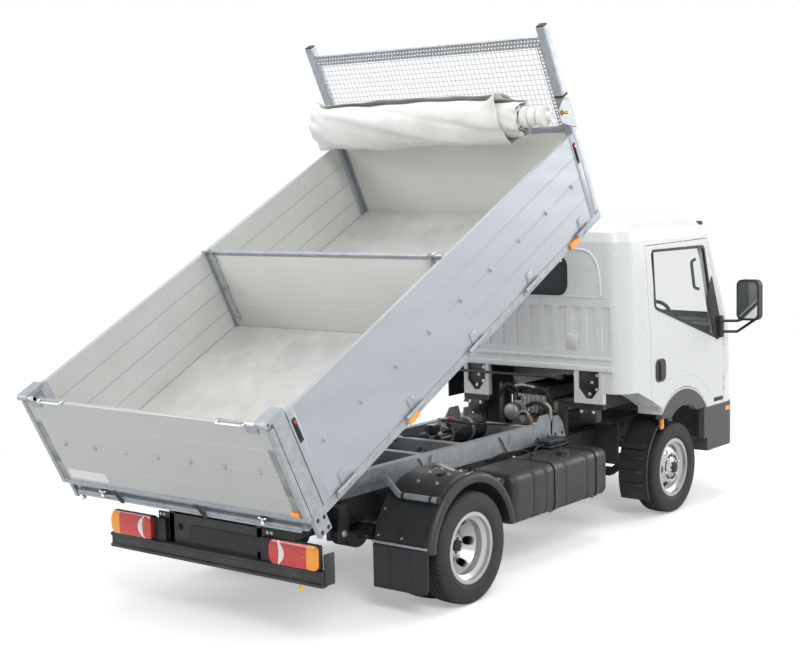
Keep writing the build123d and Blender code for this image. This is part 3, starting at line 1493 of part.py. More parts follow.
# Twin rear wheels, their discs bolted back to back on one hub
meet = twin_spacing / 2
dish_edge, disc_gauge, dish_bend = 25, 8, 115
hub_reach, hub_step, drum_radius, drum_step = 75, 60, 140, 40
dish = (
    (-dish_edge, disc_foot),
    (-dish_edge + 2 * disc_gauge, disc_foot),
    (-meet + disc_gauge, dish_bend),
    (-meet + disc_gauge, hub_radius),
    (-meet, hub_radius),
    (-meet, dish_bend + disc_gauge / 2),
)
rear_hub = (
    (-meet, 0),
    (-meet + hub_reach, 0),
    (-meet + hub_reach, hub_radius),
    (-meet + hub_step, hub_thick),
    (-meet, hub_thick),
)
inner_face = axle_tube_half + seat_gap - (rear_outer_half - twin_spacing)
inner_hub = (
    (-meet, 0),
    (-inner_face, 0),
    (-inner_face, drum_radius),
    (-meet + drum_step, drum_radius),
    (-meet + drum_step / 2, hub_thick),
    (-meet, hub_thick),
)
with BuildPart() as tyres_rear_left:
    for centre in (rear_outer_half, rear_outer_half - twin_spacing):
        turned(0, centre, 1, [both_ways(tyre_outline)])
with BuildPart() as rims_rear_left:
    turned(0, rear_outer_half, 1, (rim_barrel, dish, rear_hub))
    turned(0, rear_outer_half - twin_spacing, -1, (rim_barrel, dish, inner_hub))
    hand_holes(0, -rear_outer_half - rim_width, 2 * rim_width)

for name, left in (
    ("tyre_front", tyre_front_left),
    ("rim_front", rim_front_left),
    ("tyres_rear", tyres_rear_left),
    ("rims_rear", rims_rear_left),
):
    left.part.label = f"{name}_left"
    export_step(left.part, f"parts/{name}_left.step")
    with BuildPart() as right:
        mirror(left.part, about=Plane.XZ)
    right.part.label = f"{name}_right"
    export_step(right.part, f"parts/{name}_right.step")
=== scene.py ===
import bmesh
import bpy
import numpy as np
from mathutils import Matrix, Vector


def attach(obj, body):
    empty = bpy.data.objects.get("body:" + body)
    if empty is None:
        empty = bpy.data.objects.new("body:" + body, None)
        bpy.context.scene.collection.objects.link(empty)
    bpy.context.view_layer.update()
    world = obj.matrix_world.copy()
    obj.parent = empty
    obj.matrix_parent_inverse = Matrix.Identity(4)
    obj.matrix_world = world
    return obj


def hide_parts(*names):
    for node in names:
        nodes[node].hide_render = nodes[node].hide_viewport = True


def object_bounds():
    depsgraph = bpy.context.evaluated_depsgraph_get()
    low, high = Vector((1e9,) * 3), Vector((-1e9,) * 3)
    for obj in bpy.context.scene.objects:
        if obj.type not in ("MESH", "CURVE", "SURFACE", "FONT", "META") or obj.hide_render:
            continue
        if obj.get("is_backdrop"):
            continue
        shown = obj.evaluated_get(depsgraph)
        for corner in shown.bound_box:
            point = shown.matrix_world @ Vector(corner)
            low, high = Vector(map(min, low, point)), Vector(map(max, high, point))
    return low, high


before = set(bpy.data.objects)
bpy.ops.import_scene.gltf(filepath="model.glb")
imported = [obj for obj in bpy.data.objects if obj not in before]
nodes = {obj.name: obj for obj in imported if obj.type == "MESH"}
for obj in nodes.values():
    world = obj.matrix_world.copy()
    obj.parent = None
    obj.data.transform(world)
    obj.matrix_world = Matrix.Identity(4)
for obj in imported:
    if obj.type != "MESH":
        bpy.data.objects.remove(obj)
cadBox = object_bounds()
print("frame loaded:", len(nodes), "nodes")

# Places in metres. The rear axle stands at axleX; the bed's own frame is tipped about Y.
truck = {"axleX": -1.048788, "wheelbase": 2.88}
bedFrame = {"x": -1.504196, "z": 0.826117, "tilt": 27.27}
tiltCos, tiltSin = np.cos(np.radians(bedFrame["tilt"])), np.sin(np.radians(bedFrame["tilt"]))


def onTruck(points):
    # measured from the rear axle on the ground: x forwards, y left, z up
    return np.asarray(points, float) + np.array([truck["axleX"], 0, 0])


def onBed(points):
    # along the bed from the tailgate, left, and up from the boards' foot, turned by the tilt
    p = np.asarray(points, float)
    x = truck["axleX"] + bedFrame["x"] + p[..., 0] * tiltCos - p[..., 2] * tiltSin
    z = bedFrame["z"] + p[..., 0] * tiltSin + p[..., 2] * tiltCos
    return np.stack([x, p[..., 1], z], -1)


def newObject(name, data):
    made = bpy.data.objects.new(name, data)
    bpy.context.scene.collection.objects.link(made)
    return made


# ---- camera, floor and light
cameraSetup = {"place": (-7.225, -6.23, 2.619), "heading": 38.354, "down": 5.953, "roll": -1.319, "lens": 66.908,
    "shift": (-0.008, -0.0024)}


def makeCamera(c):
    # forward from heading and tilt, right and up from it, then both turned by the roll
    heading, down, roll = np.radians([c["heading"], c["down"], c["roll"]])
    forward = np.array([np.cos(heading) * np.cos(down), np.sin(heading) * np.cos(down), -np.sin(down)])
    right = np.cross(forward, [0, 0, 1])
    right /= np.linalg.norm(right)
    up = np.cross(right, forward)
    turnedRight = right * np.cos(roll) + up * np.sin(roll)
    turnedUp = -right * np.sin(roll) + up * np.cos(roll)
    data = bpy.data.cameras.new("photoCamera")
    data.sensor_width = 36
    data.lens = c["lens"]
    data.shift_x, data.shift_y = c["shift"]
    data.clip_end = 200
    camera = newObject("photoCamera", data)
    basis = np.eye(4)
    basis[:3, 0], basis[:3, 1], basis[:3, 2] = turnedRight, turnedUp, -forward
    basis[:3, 3] = onTruck(c["place"])
    camera.matrix_world = Matrix(basis.tolist())
    bpy.context.scene.camera = camera


makeCamera(cameraSetup)

lights = (
    # name, place, aimed at, size, power, colour
    ("key", (-6.5, -7.5, 8.0), (0, 0, 1.0), 5.0, 620, (1.0, 0.99, 0.97)),
    ("fill", (-8.0, 5.5, 5.5), (0, 0, 1.0), 5.0, 260, (0.96, 0.98, 1.0)),
    ("top", (0.5, 0.0, 9.0), (0, 0, 0.5), 7.0, 380, (1.0, 1.0, 1.0)),
    ("front", (8.0, -5.0, 4.0), (0, 0, 1.0), 4.0, 240, (1.0, 1.0, 1.0)),
)


def makeLights(rows):
    for name, place, aim, size, power, colour in rows:
        data = bpy.data.lights.new(name, "AREA")
        data.shape, data.size, data.energy, data.color = "DISK", size, power, colour
        lamp = newObject(name, data)
        away = np.array(place, float) - np.array(aim, float)
        away /= np.linalg.norm(away)
        across = np.cross([0, 0, 1.0], away)
        across = across / np.linalg.norm(across) if np.linalg.norm(across) > 1e-6 else np.array([1.0, 0, 0])
        basis = np.eye(4)
        basis[:3, 0], basis[:3, 1], basis[:3, 2], basis[:3, 3] = across, np.cross(away, across), away, place
        lamp.matrix_world = Matrix(basis.tolist())


makeLights(lights)


# ---- node materials
def nodeMaker(material):
    material.use_nodes = True
    tree = material.node_tree
    tree.nodes.clear()

    def make(kind, inputs=None, **settings):
        node = tree.nodes.new("ShaderNode" + kind)
        for key, value in settings.items():
            setattr(node, key, value)
        for key, value in (inputs or {}).items():
            socket = node.inputs[key]
            if isinstance(value, bpy.types.NodeSocket):
                tree.links.new(value, socket)
            else:
                socket.default_value = value
        return node

    return make


def seenRays(make, path):
    # one for rays from the eye, also by a mirror or through glass, and none for those that spread light
    seen = make("Math", {0: path.outputs["Is Camera Ray"], 1: path.outputs["Is Glossy Ray"]}, operation="MAXIMUM")
    return make("Math", {0: seen.outputs[0], 1: path.outputs["Is Transmission Ray"]}, operation="MAXIMUM")


def whiteBackdrop():
    world = bpy.data.worlds.new("studio")
    bpy.context.scene.world = world
    make = nodeMaker(world)
    path = make("LightPath")
    seen = seenRays(make, path)
    soft = make("Background", {"Color": (0.95, 0.97, 1.0, 1), "Strength": 0.42})
    plain = make("Background", {"Color": (1, 1, 1, 1), "Strength": 1.0})
    mix = make("MixShader", {0: seen.outputs[0], 1: soft.outputs[0], 2: plain.outputs[0]})
    make("OutputWorld", {"Surface": mix.outputs[0]})

    data = bpy.data.meshes.new("floor")
    reach = 60.0
    data.from_pydata([(-reach, -reach, 0), (reach, -reach, 0), (reach, reach, 0), (-reach, reach, 0)], [],
        [(0, 1, 2, 3)])
    floor = newObject("floor", data)
    paper = bpy.data.materials.new("floorPaper")
    make = nodeMaker(paper)
    path = make("LightPath")
    lift = make("Math", {0: path.outputs["Is Camera Ray"], 1: 0.34}, operation="MULTIPLY")
    grain = make("TexNoise", {"Scale": 3.0, "Detail": 4.0})
    tone = make("MapRange", {"Value": grain.outputs["Fac"], "To Min": 0.88, "To Max": 0.92})
    diffuse = make("BsdfDiffuse", {"Color": tone.outputs[0]})
    glow = make("Emission", {"Color": (1, 1, 1, 1), "Strength": lift.outputs[0]})
    both = make("AddShader", {0: diffuse.outputs[0], 1: glow.outputs[0]})
    spot = make("TexCoord")
    away = make("VectorMath", {0: spot.outputs["Object"]}, operation="LENGTH")
    far = make("MapRange",
        {"Value": away.outputs["Value"], "From Min": 3.4, "From Max": 6.0, "To Min": 0.0, "To Max": 1.0})
    seen = seenRays(make, path)
    share = make("Math", {0: far.outputs[0], 1: seen.outputs[0]}, operation="MULTIPLY")
    white = make("Emission", {"Color": (1, 1, 1, 1), "Strength": 1.0})
    fade = make("MixShader", {0: share.outputs[0], 1: both.outputs[0], 2: white.outputs[0]})
    make("OutputMaterial", {"Surface": fade.outputs[0]})
    data.materials.append(paper)
    floor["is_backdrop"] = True


whiteBackdrop()
view = bpy.context.scene.view_settings
view.view_transform = "Standard"

materials = {}


def finish(name, colour, rough=0.5, metal=0.0, tone=0.06, scale=6.0, stretch=(1, 1, 1), roughSpread=0.1, bump=0.0,
        bumpScale=200.0, bumpStretch=None, grain="noise", dirt=None, dirtScale=3.0, coat=0.0, emission=0.0, sheen=0.0,
        tilted=False):
    # colour and roughness wander with a noise on object coordinates, a second noise lays dirt, given as a colour
    # and a share, over them, and a fine noise, cell pattern or weave drives the bump
    material = bpy.data.materials.new(name)
    make = nodeMaker(material)
    place = make("TexCoord")
    turned = make("Mapping", {"Vector": place.outputs["Object"], "Scale": stretch})
    if tilted:
        turned.inputs["Rotation"].default_value = (0, np.radians(bedFrame["tilt"]), 0)
    wander = make("TexNoise", {"Vector": turned.outputs[0], "Scale": scale, "Detail": 5.0, "Roughness": 0.6})
    dark = tuple(c * (1 - tone) for c in colour) + (1,)
    light = tuple(min(1, c * (1 + tone)) for c in colour) + (1,)
    ramp = make("ValToRGB", {"Fac": wander.outputs["Fac"]})
    ramp.color_ramp.elements[0].position, ramp.color_ramp.elements[1].position = 0.3, 0.7
    ramp.color_ramp.elements[0].color, ramp.color_ramp.elements[1].color = dark, light
    shade = ramp.outputs["Color"]
    if dirt:
        spots = make("TexNoise",
            {"Vector": place.outputs["Object"], "Scale": dirtScale, "Detail": 8.0, "Roughness": 0.7})
        where = make("MapRange",
            {"Value": spots.outputs["Fac"], "From Min": 0.45, "From Max": 0.75, "To Min": 0.0, "To Max": dirt[3]})
        over = make("Mix", {0: where.outputs[0], 6: shade, 7: tuple(dirt[:3]) + (1,)}, data_type="RGBA")
        shade = over.outputs[2]
    rougher = make("MapRange",
        {"Value": wander.outputs["Fac"], "From Min": 0.3, "From Max": 0.7, "To Min": max(0.02, rough - roughSpread),
        "To Max": min(1, rough + roughSpread)})
    inputs = {"Base Color": shade, "Roughness": rougher.outputs[0], "Metallic": metal, "Coat Weight": coat,
        "Sheen Weight": sheen}
    if emission:
        inputs.update({"Emission Color": tuple(colour) + (1,), "Emission Strength": emission})
    if bump:
        along = make("Mapping", {"Vector": place.outputs["Object"], "Scale": bumpStretch or (1, 1, 1)})
        if tilted:
            along.inputs["Rotation"].default_value = (0, np.radians(bedFrame["tilt"]), 0)
        if grain == "cells":
            fine = make("TexVoronoi", {"Vector": along.outputs[0], "Scale": bumpScale})
            height = fine.outputs["Distance"]
        elif grain == "weave":
            wave = [make("TexWave", {"Vector": along.outputs[0], "Scale": bumpScale}, bands_direction=d)
                for d in ("X", "Z")]
            height = make("Math", {0: wave[0].outputs["Fac"], 1: wave[1].outputs["Fac"]},
                operation="MULTIPLY").outputs[0]
        else:
            fine = make("TexNoise", {"Vector": along.outputs[0], "Scale": bumpScale, "Detail": 4.0})
            height = fine.outputs["Fac"]
        inputs["Normal"] = make("Bump", {"Height": height, "Strength": bump, "Distance": 0.002}).outputs[0]
    shader = make("BsdfPrincipled", inputs)
    make("OutputMaterial", {"Surface": shader.outputs[0]})
    materials[name] = material


finish("whitePaint", (0.69, 0.705, 0.715), 0.28, tone=0.012, scale=2.5, coat=0.35, roughSpread=0.04, bump=0.03,
    bumpScale=60)
finish("blackFrame", (0.022, 0.022, 0.024), 0.42, tone=0.3, bump=0.15, bumpScale=90, dirt=(0.12, 0.11, 0.1, 0.35))
finish("galvanised", (0.36, 0.39, 0.415), 0.46, 0.5, tone=0.16, scale=30, grain="cells", bump=0.12, bumpScale=70,
    dirt=(0.62, 0.64, 0.66, 0.4), dirtScale=9)
finish("boardAlloy", (0.41, 0.44, 0.475), 0.42, 0.3, tone=0.035, scale=2.2, stretch=(0.5, 1, 3), bump=0.06,
    bumpScale=260, bumpStretch=(0.03, 1, 1), tilted=True)
finish("gateAlloy", (0.5, 0.505, 0.5), 0.44, 0.45, tone=0.035, scale=2.2, bump=0.06, bumpScale=260,
    bumpStretch=(1, 0.03, 1))
finish("innerBoard", (0.6, 0.61, 0.6), 0.5, 0.15, tone=0.05, scale=3.5, bump=0.05, bumpScale=200, tilted=True,
    dirt=(0.6, 0.58, 0.53, 0.35), dirtScale=2.2)
finish("bedFloor", (0.52, 0.52, 0.51), 0.6, 0.1, tone=0.09, scale=5, bump=0.12, bumpScale=120, tilted=True,
    dirt=(0.7, 0.67, 0.6, 0.6), dirtScale=4.5)
finish("offWhiteSheet", (0.74, 0.735, 0.7), 0.42, 0.0, tone=0.03, scale=2, bump=0.03, bumpScale=80)
finish("tarpCloth", (0.8, 0.8, 0.775), 0.72, tone=0.05, scale=9, grain="weave", bump=0.25, bumpScale=260, sheen=0.2,
    dirt=(0.6, 0.58, 0.53, 0.25), dirtScale=5)
finish("tyreRubber", (0.022, 0.022, 0.023), 0.72, tone=0.25, scale=12, bump=0.25, bumpScale=160,
    dirt=(0.075, 0.072, 0.07, 0.4))
finish("rimSilver", (0.56, 0.57, 0.58), 0.36, 0.7, tone=0.06, scale=12, bump=0.05, bumpScale=120,
    dirt=(0.2, 0.18, 0.15, 0.25))
finish("darkPlastic", (0.022, 0.024, 0.027), 0.48, tone=0.12, scale=8, bump=0.2, bumpScale=320,
    dirt=(0.1, 0.1, 0.1, 0.2))
finish("rubberBlack", (0.018, 0.018, 0.018), 0.6, tone=0.2, bump=0.1, bumpScale=200)
# the red and amber lamp finishes glow a little by emission. The glowing red also goes on the board latch tips and the
# pack's filler cap, and the glowing amber on the tailgate's reflector. None of these is a lamp, so on them the glow
# is painted light
finish("lampRed", (0.55, 0.02, 0.015), 0.14, tone=0.1, coat=0.6, bump=0.2, bumpScale=90, emission=0.12)
finish("lampAmber", (0.85, 0.3, 0.02), 0.2, tone=0.1, coat=0.5, bump=0.2, bumpScale=90, emission=0.15)
finish("lampClear", (0.8, 0.82, 0.82), 0.08, 0.1, tone=0.08, coat=0.8, bump=0.2, bumpScale=60)
finish("castIron", (0.1, 0.1, 0.1), 0.6, 0.5, tone=0.3, scale=14, bump=0.4, bumpScale=110,
    dirt=(0.23, 0.2, 0.17, 0.4))
finish("castAlloy", (0.42, 0.42, 0.41), 0.48, 0.8, tone=0.2, scale=18, bump=0.3, bumpScale=120,
    dirt=(0.1, 0.09, 0.08, 0.5), dirtScale=9)
finish("polishedSteel", (0.66, 0.67, 0.68), 0.12, 1.0, tone=0.05, scale=20, bump=0.02)
finish("zincBolt", (0.58, 0.58, 0.56), 0.32, 0.9, tone=0.1, scale=40, bump=0.05)
finish("hotSteel", (0.22, 0.19, 0.165), 0.5, 0.8, tone=0.3, scale=9, bump=0.2, bumpScale=120,
    dirt=(0.28, 0.17, 0.09, 0.5), dirtScale=5)
finish("mirrorFace", (0.75, 0.78, 0.78), 0.03, 1.0, tone=0.02, scale=3, roughSpread=0.01)
finish("brassPin", (0.55, 0.36, 0.12), 0.3, 0.9, tone=0.1, scale=30)
finish("beigeHose", (0.6, 0.55, 0.44), 0.5, tone=0.1, scale=10, bump=0.1)
finish("paleTank", (0.62, 0.64, 0.66), 0.4, tone=0.06, scale=6, bump=0.05)
finish("yellowTag", (0.8, 0.52, 0.03), 0.4, tone=0.05)
finish("seatCloth", (0.055, 0.056, 0.062), 0.85, tone=0.2, scale=30, grain="weave", bump=0.4, bumpScale=400,
    sheen=0.3)
finish("blackGloss", (0.018, 0.018, 0.019), 0.24, tone=0.2, coat=0.5, bump=0.05, bumpScale=60,
    dirt=(0.12, 0.11, 0.1, 0.2))
finish("bumperGrey", (0.075, 0.069, 0.068), 0.55, tone=0.1, scale=7, bump=0.15, bumpScale=300)


def glassMaterial(name, colour, alpha):
    # a clear sheet: mostly see-through, glossy at a slant
    material = bpy.data.materials.new(name)
    make = nodeMaker(material)
    place = make("TexCoord")
    haze = make("TexNoise", {"Vector": place.outputs["Object"], "Scale": 2.0, "Detail": 3.0})
    rough = make("MapRange", {"Value": haze.outputs["Fac"], "To Min": 0.01, "To Max": 0.05})
    shader = make("BsdfPrincipled",
        {"Base Color": tuple(colour) + (1,), "Roughness": rough.outputs[0], "Alpha": alpha})
    make("OutputMaterial", {"Surface": shader.outputs[0]})
    materials[name] = material


glassMaterial("windowGlass", (0.42, 0.52, 0.51), 0.07)
print("materials made:", len(materials))

# each material's CAD nodes
nodeFinish = {"blackFrame": "chassis_frame front_axle leaf_springs rear_axle hydraulic_pack underrun_bar ram_barrel",
    "galvanised": "subframe bed_frame headboard corner_posts mudguard_stays",
    "castIron": "engine knuckle_left knuckle_right",
    "darkPlastic": "fuel_tank battery_box rear_mudguards front_mudguards grille dashboard", "lampRed": "tail_lamps",
    "bedFloor": "bed_floor", "offWhiteSheet": "partition", "tarpCloth": "tarp_roll",
    "boardAlloy": "board_left board_right", "gateAlloy": "tailgate",
    "polishedSteel": "ram_stage_1 ram_stage_2 ram_stage_3 ram_stage_4",
    "whitePaint": "cab_shell door_left door_right", "windowGlass": "cab_glass door_glass_left door_glass_right",
    "lampClear": "head_lamps", "seatCloth": "seats", "rubberBlack": "mirror_left mirror_right",
    "tyreRubber": "tyre_front_left tyre_front_right tyres_rear_left tyres_rear_right",
    "rimSilver": "rim_front_left rim_front_right rims_rear_left rims_rear_right", "hotSteel": "exhaust",
    "bumperGrey": "bumper cab_flares"}
for material, members in nodeFinish.items():
    for nodeName in members.split():
        cadNode = nodes[nodeName]
        cadNode.data.materials.clear()
        cadNode.data.materials.append(materials[material])


# ---- shapes, worked out as arrays of points and faces
def gridFaces(rows, columns, aroundClosed=True):
    # one quad between each pair of neighbouring rows and columns, the last column joined to the first if closed
    r = np.arange(rows - 1)[:, None]
    c = np.arange(columns if aroundClosed else columns - 1)[None, :]
    n = (c + 1) % columns
    quads = np.stack([r * columns + c, r * columns + n, (r + 1) * columns + n, (r + 1) * columns + c], -1)
    return [tuple(q) for q in quads.reshape(-1, 4).tolist()]


def loops(points, capStart=True, capEnd=True):
    # a grid of closed loops, rows along and columns around, with its first and last loops filled
    points = np.asarray(points, float)
    rows, columns = points.shape[:2]
    faces = gridFaces(rows, columns)
    if capStart:
        faces.append(tuple(range(columns - 1, -1, -1)))
    if capEnd:
        faces.append(tuple(range((rows - 1) * columns, rows * columns)))
    return points.reshape(-1, 3), faces


def join(parts):
    # many shapes in one: their points stacked and their faces counted on
    points, faces, start = [], [], 0
    for verts, quads in parts:
        points.append(np.asarray(verts, float).reshape(-1, 3))
        faces += [tuple(i + start for i in q) for q in quads]
        start += len(points[-1])
    return np.concatenate(points), faces


def placed(part, how):
    return how(part[0]), part[1]


def shifted(part, by):
    return np.asarray(part[0]) + np.asarray(by, float), part[1]


def whole(part):
    # a list of shapes stands for all of them joined
    return join(part) if isinstance(part, list) else part


def mirrored(part):
    # the other side of the truck: y turned over, and each face run backwards
    part = whole(part)
    return np.asarray(part[0]) * [1, -1, 1], [q[::-1] for q in part[1]]


def bothSides(part):
    part = whole(part)
    return join([part, mirrored(part)])


def repeated(part, places):
    # the same shape at each of many places
    verts, faces = part
    places = np.asarray(places, float)
    count = len(verts)
    points = (np.asarray(verts)[None] + places[:, None]).reshape(-1, 3)
    return points, [tuple(i + k * count for i in q) for k in range(len(places)) for q in faces]


axesOf = {"x": (1, 2, 0), "y": (2, 0, 1), "z": (0, 1, 2)}  # where a profile's two columns and its run go


def prism(profile, start, end, axis="x", inset=0.0):
    # a closed profile carried straight along an axis from start to end, its end loops drawn in by an inset
    profile = np.asarray(profile, float)
    centre = profile.mean(0)
    size = np.abs(profile - centre).max()
    small = centre + (profile - centre) * (1 - inset / size)
    if inset:
        along = [start, start + inset, end - inset, end]
        shapes = [small, profile, profile, small]
    else:
        along, shapes = [start, end], [profile, profile]
    grid = np.zeros((len(along), len(profile), 3))
    first, second, run = axesOf[axis]
    for k, (place, shape) in enumerate(zip(along, shapes)):
        grid[k, :, first], grid[k, :, second], grid[k, :, run] = shape[:, 0], shape[:, 1], place
    return loops(grid)


def roundRect(low, high, radius, steps=3):
    # a rectangle's outline with each corner turned through a quarter circle, anticlockwise
    turn = np.linspace(0, np.pi / 2, steps + 1)
    corners = ((high[0] - radius, high[1] - radius, 0), (low[0] + radius, high[1] - radius, 1),
        (low[0] + radius, low[1] + radius, 2), (high[0] - radius, low[1] + radius, 3))
    rows = [
        np.stack([x + radius * np.cos(turn + q * np.pi / 2), y + radius * np.sin(turn + q * np.pi / 2)], -1) for x, y,
        q in corners]
    return np.concatenate(rows)


def slab(low, high, radius=0.003, axis="z", steps=2):
    # a rounded rectangle carried along an axis, its ends drawn in by the same rounding
    first, second, run = axesOf[axis]
    outline = roundRect((low[first], low[second]), (high[first], high[second]), radius, steps)
    return prism(outline, low[run], high[run], axis, min(radius, (high[run] - low[run]) / 3))


def circle(radius, sides, centre=(0, 0)):
    turn = np.arange(sides) * 2 * np.pi / sides
    return np.stack([centre[0] + radius * np.cos(turn), centre[1] + radius * np.sin(turn)], -1)


def lathe(profile, centre, axis="y", sides=48, closed=False):
    # a profile of (place along the axis, radius) turned about the axis through a centre
    profile = np.asarray(profile, float)
    turn = np.arange(sides) * 2 * np.pi / sides
    first, second, run = axesOf[axis]
    grid = np.zeros((len(profile), sides, 3))
    grid[..., first] = centre[first] + profile[:, 1:2] * np.cos(turn)
    grid[..., second] = centre[second] + profile[:, 1:2] * np.sin(turn)
    grid[..., run] = centre[run] + profile[:, 0:1]
    if closed:
        grid = np.concatenate([grid, grid[:1]])
        return grid.reshape(-1, 3), gridFaces(len(profile) + 1, sides)
    return loops(grid)


def smoothLine(points, count=8, closed=False):
    # a line through the points, each stretch a cubic whose slopes are half the step between its neighbours
    p = np.asarray(points, float)
    before, after = (np.roll(p, 1, 0), np.roll(p, -1, 0))
    if not closed:
        before[0], after[-1] = 2 * p[0] - p[1], 2 * p[-1] - p[-2]
    slope = (after - before) / 2
    t = np.linspace(0, 1, count, endpoint=False)[:, None]
    last = len(p) if closed else len(p) - 1
    rows = []
    for k in range(last):
        a, b, m, n = p[k], p[(k + 1) % len(p)], slope[k], slope[(k + 1) % len(p)]
        rows.append((2 * t**3 - 3 * t**2 + 1) * a + (t**3 - 2 * t**2 + t) * m + (-2 * t**3 + 3 * t**2) * b
            + (t**3 - t**2) * n)
    if not closed:
        rows.append(p[-1:])
    return np.concatenate(rows)


def roundedLine(points, radius, steps=5):
    # straight runs whose corners are replaced by quadratic bends that start and end a radius away
    p = np.asarray(points, float)
    rows = [p[:1]]
    t = np.linspace(0, 1, steps)[:, None]
    for k in range(1, len(p) - 1):
        back, on = p[k - 1] - p[k], p[k + 1] - p[k]
        r = min(radius, np.linalg.norm(back) * 0.49, np.linalg.norm(on) * 0.49)
        a, b = p[k] + back / np.linalg.norm(back) * r, p[k] + on / np.linalg.norm(on) * r
        rows.append((1 - t) ** 2 * a + 2 * t * (1 - t) * p[k] + t**2 * b)
    rows.append(p[-1:])
    return np.concatenate(rows)


def carried(profile, path, up=(0, 0, 1), closed=False, scale=None):
    # a closed profile carried along a path, square to it, its second column kept as near to up as it can be
    path, profile = np.asarray(path, float), np.asarray(profile, float)
    ahead = np.roll(path, -1, 0) - np.roll(path, 1, 0)
    if not closed:
        ahead[0], ahead[-1] = path[1] - path[0], path[-1] - path[-2]
    ahead /= np.linalg.norm(ahead, axis=1)[:, None]
    side = np.cross(np.asarray(up, float)[None], ahead)
    length = np.linalg.norm(side, axis=1)
    for k in np.flatnonzero(length < 1e-3):
        side[k] = side[k - 1] if k else (0, 1, 0)
        length[k] = np.linalg.norm(side[k])
    side /= length[:, None]
    top = np.cross(ahead, side)
    s = np.ones(len(path)) if scale is None else np.asarray(scale, float)
    grid = (path[:, None] + side[:, None] * (profile[None, :, :1] * s[:, None, None])
        + top[:, None] * (profile[None, :, 1:] * s[:, None, None]))
    if closed:
        grid = np.concatenate([grid, grid[:1]])
        return grid.reshape(-1, 3), gridFaces(len(grid), len(profile))
    return loops(grid)


def tube(path, radius, sides=12, up=(0, 0, 1), closed=False, scale=None):
    return carried(circle(radius, sides), path, up, closed, scale)


def dome(radius, height, rings=4, sides=16):
    # a low round head that stands on the XY plane: radius falls with the cosine as height grows with the sine
    t = np.linspace(0, np.pi / 2 * 0.9, rings)
    profile = np.concatenate([[[-height * 0.3, radius]], np.stack([height * np.sin(t), radius * np.cos(t)], -1)])
    return lathe(profile, (0, 0, 0), "z", sides)


def hexBolt(radius, height, washer=1.35):
    # a six-sided head with a bevelled top on a round washer, standing on the XY plane
    turn = np.arange(6) * np.pi / 3
    ring = np.stack([np.cos(turn), np.sin(turn)], -1)
    rows = [(0.92, height * 0.25), (1.0, height * 0.3), (1.0, height * 0.85), (0.84, height)]
    grid = np.stack([np.concatenate([ring * radius * k, np.full((6, 1), z)], 1) for k, z in rows])
    disc = lathe([(0, radius * washer), (height * 0.22, radius * washer), (height * 0.28, radius * 1.2)], (0, 0, 0),
        "z", 18)
    return join([loops(grid), disc])


def facing(part, normal, place=(0, 0, 0)):
    # a shape made on the XY plane, its Z turned to a normal and its foot put at a place
    n = np.asarray(normal, float) / np.linalg.norm(normal)
    across = np.cross([0, 0, 1.0], n) if abs(n[2]) < 0.9 else np.cross([0, 1.0, 0], n)
    across /= np.linalg.norm(across)
    turned = np.stack([across, np.cross(n, across), n])
    return np.asarray(part[0]) @ turned + np.asarray(place, float), part[1]


# the slot that each material usually fills; a piece names its own where it differs
slotMaterials = {"dark_plastic": "rubberBlack darkPlastic bumperGrey", "board_alloy": "gateAlloy",
    "galvanised": "galvanised polishedSteel brassPin zincBolt", "white_paint": "offWhiteSheet whitePaint paleTank",
    "lamp": "lampAmber lampRed yellowTag", "head_lamp": "lampClear", "tarp": "tarpCloth",
    "chassis_black": "blackFrame blackGloss", "cast_iron": "castIron castAlloy beigeHose",
    "exhaust_steel": "hotSteel", "tyre": "tyreRubber", "bed_grey": "boardAlloy innerBoard", "ram_steel": "mirrorFace",
    "seat_cloth": "seatCloth"}
usualSlot = {material: slot for slot, members in slotMaterials.items() for material in members.split()}


# the frame in which a body's shapes are written; the wheels' shapes are already in the scene's own
ownFrame = dict.fromkeys(("chassis", "cab", "door_left", "door_right"), onTruck)
ownFrame.update(dict.fromkeys(("bed", "tailgate", "board_left", "board_right"), onBed))


def showPiece(name, part, material, body="chassis", smooth=40, slot=None, bevel=0.0, replaces=(), closedShape=True):
    slot = slot or usualSlot[material]
    verts, faces = placed(whole(part), ownFrame.get(body, np.asarray))
    mesh = bpy.data.meshes.new(name)
    mesh.from_pydata(np.asarray(verts, float).tolist(), [], faces)
    mesh.update()
    if closedShape:  # mirrored parts come inside out, so every shell is turned to face outwards
        shape = bmesh.new()
        shape.from_mesh(mesh)
        bmesh.ops.recalc_face_normals(shape, faces=shape.faces)
        shape.to_mesh(mesh)
        shape.free()
    mesh.polygons.foreach_set("use_smooth", np.full(len(mesh.polygons), smooth > 0))
    if smooth:
        mesh.set_sharp_from_angle(angle=np.radians(smooth))
    piece = newObject(name, mesh)
    mesh.materials.append(materials[material])
    if bevel:
        edge = piece.modifiers.new("edges", "BEVEL")
        edge.width, edge.segments, edge.limit_method, edge.angle_limit = bevel, 2, "ANGLE", np.radians(40)
        edge.harden_normals = True
    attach(piece, body)
    if replaces:
        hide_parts(*replaces)
    return piece


# ---- wheels
wheel = {"radius": 0.35, "width": 0.195, "seat": 0.2053, "flange": 0.223, "blocks": 66, "groove": 0.007,
    "front": 0.75, "outer": 0.907, "inner": 0.682, "nuts": 6, "face": 0.0535, "hubFace": 0.08, "capFoot": 0.0965,
    "rearSet": 0.1125, "rearNuts": 0.0082, "rearHub": 0.0752, "nutRing": 0.104, "rearRing": 0.0965}


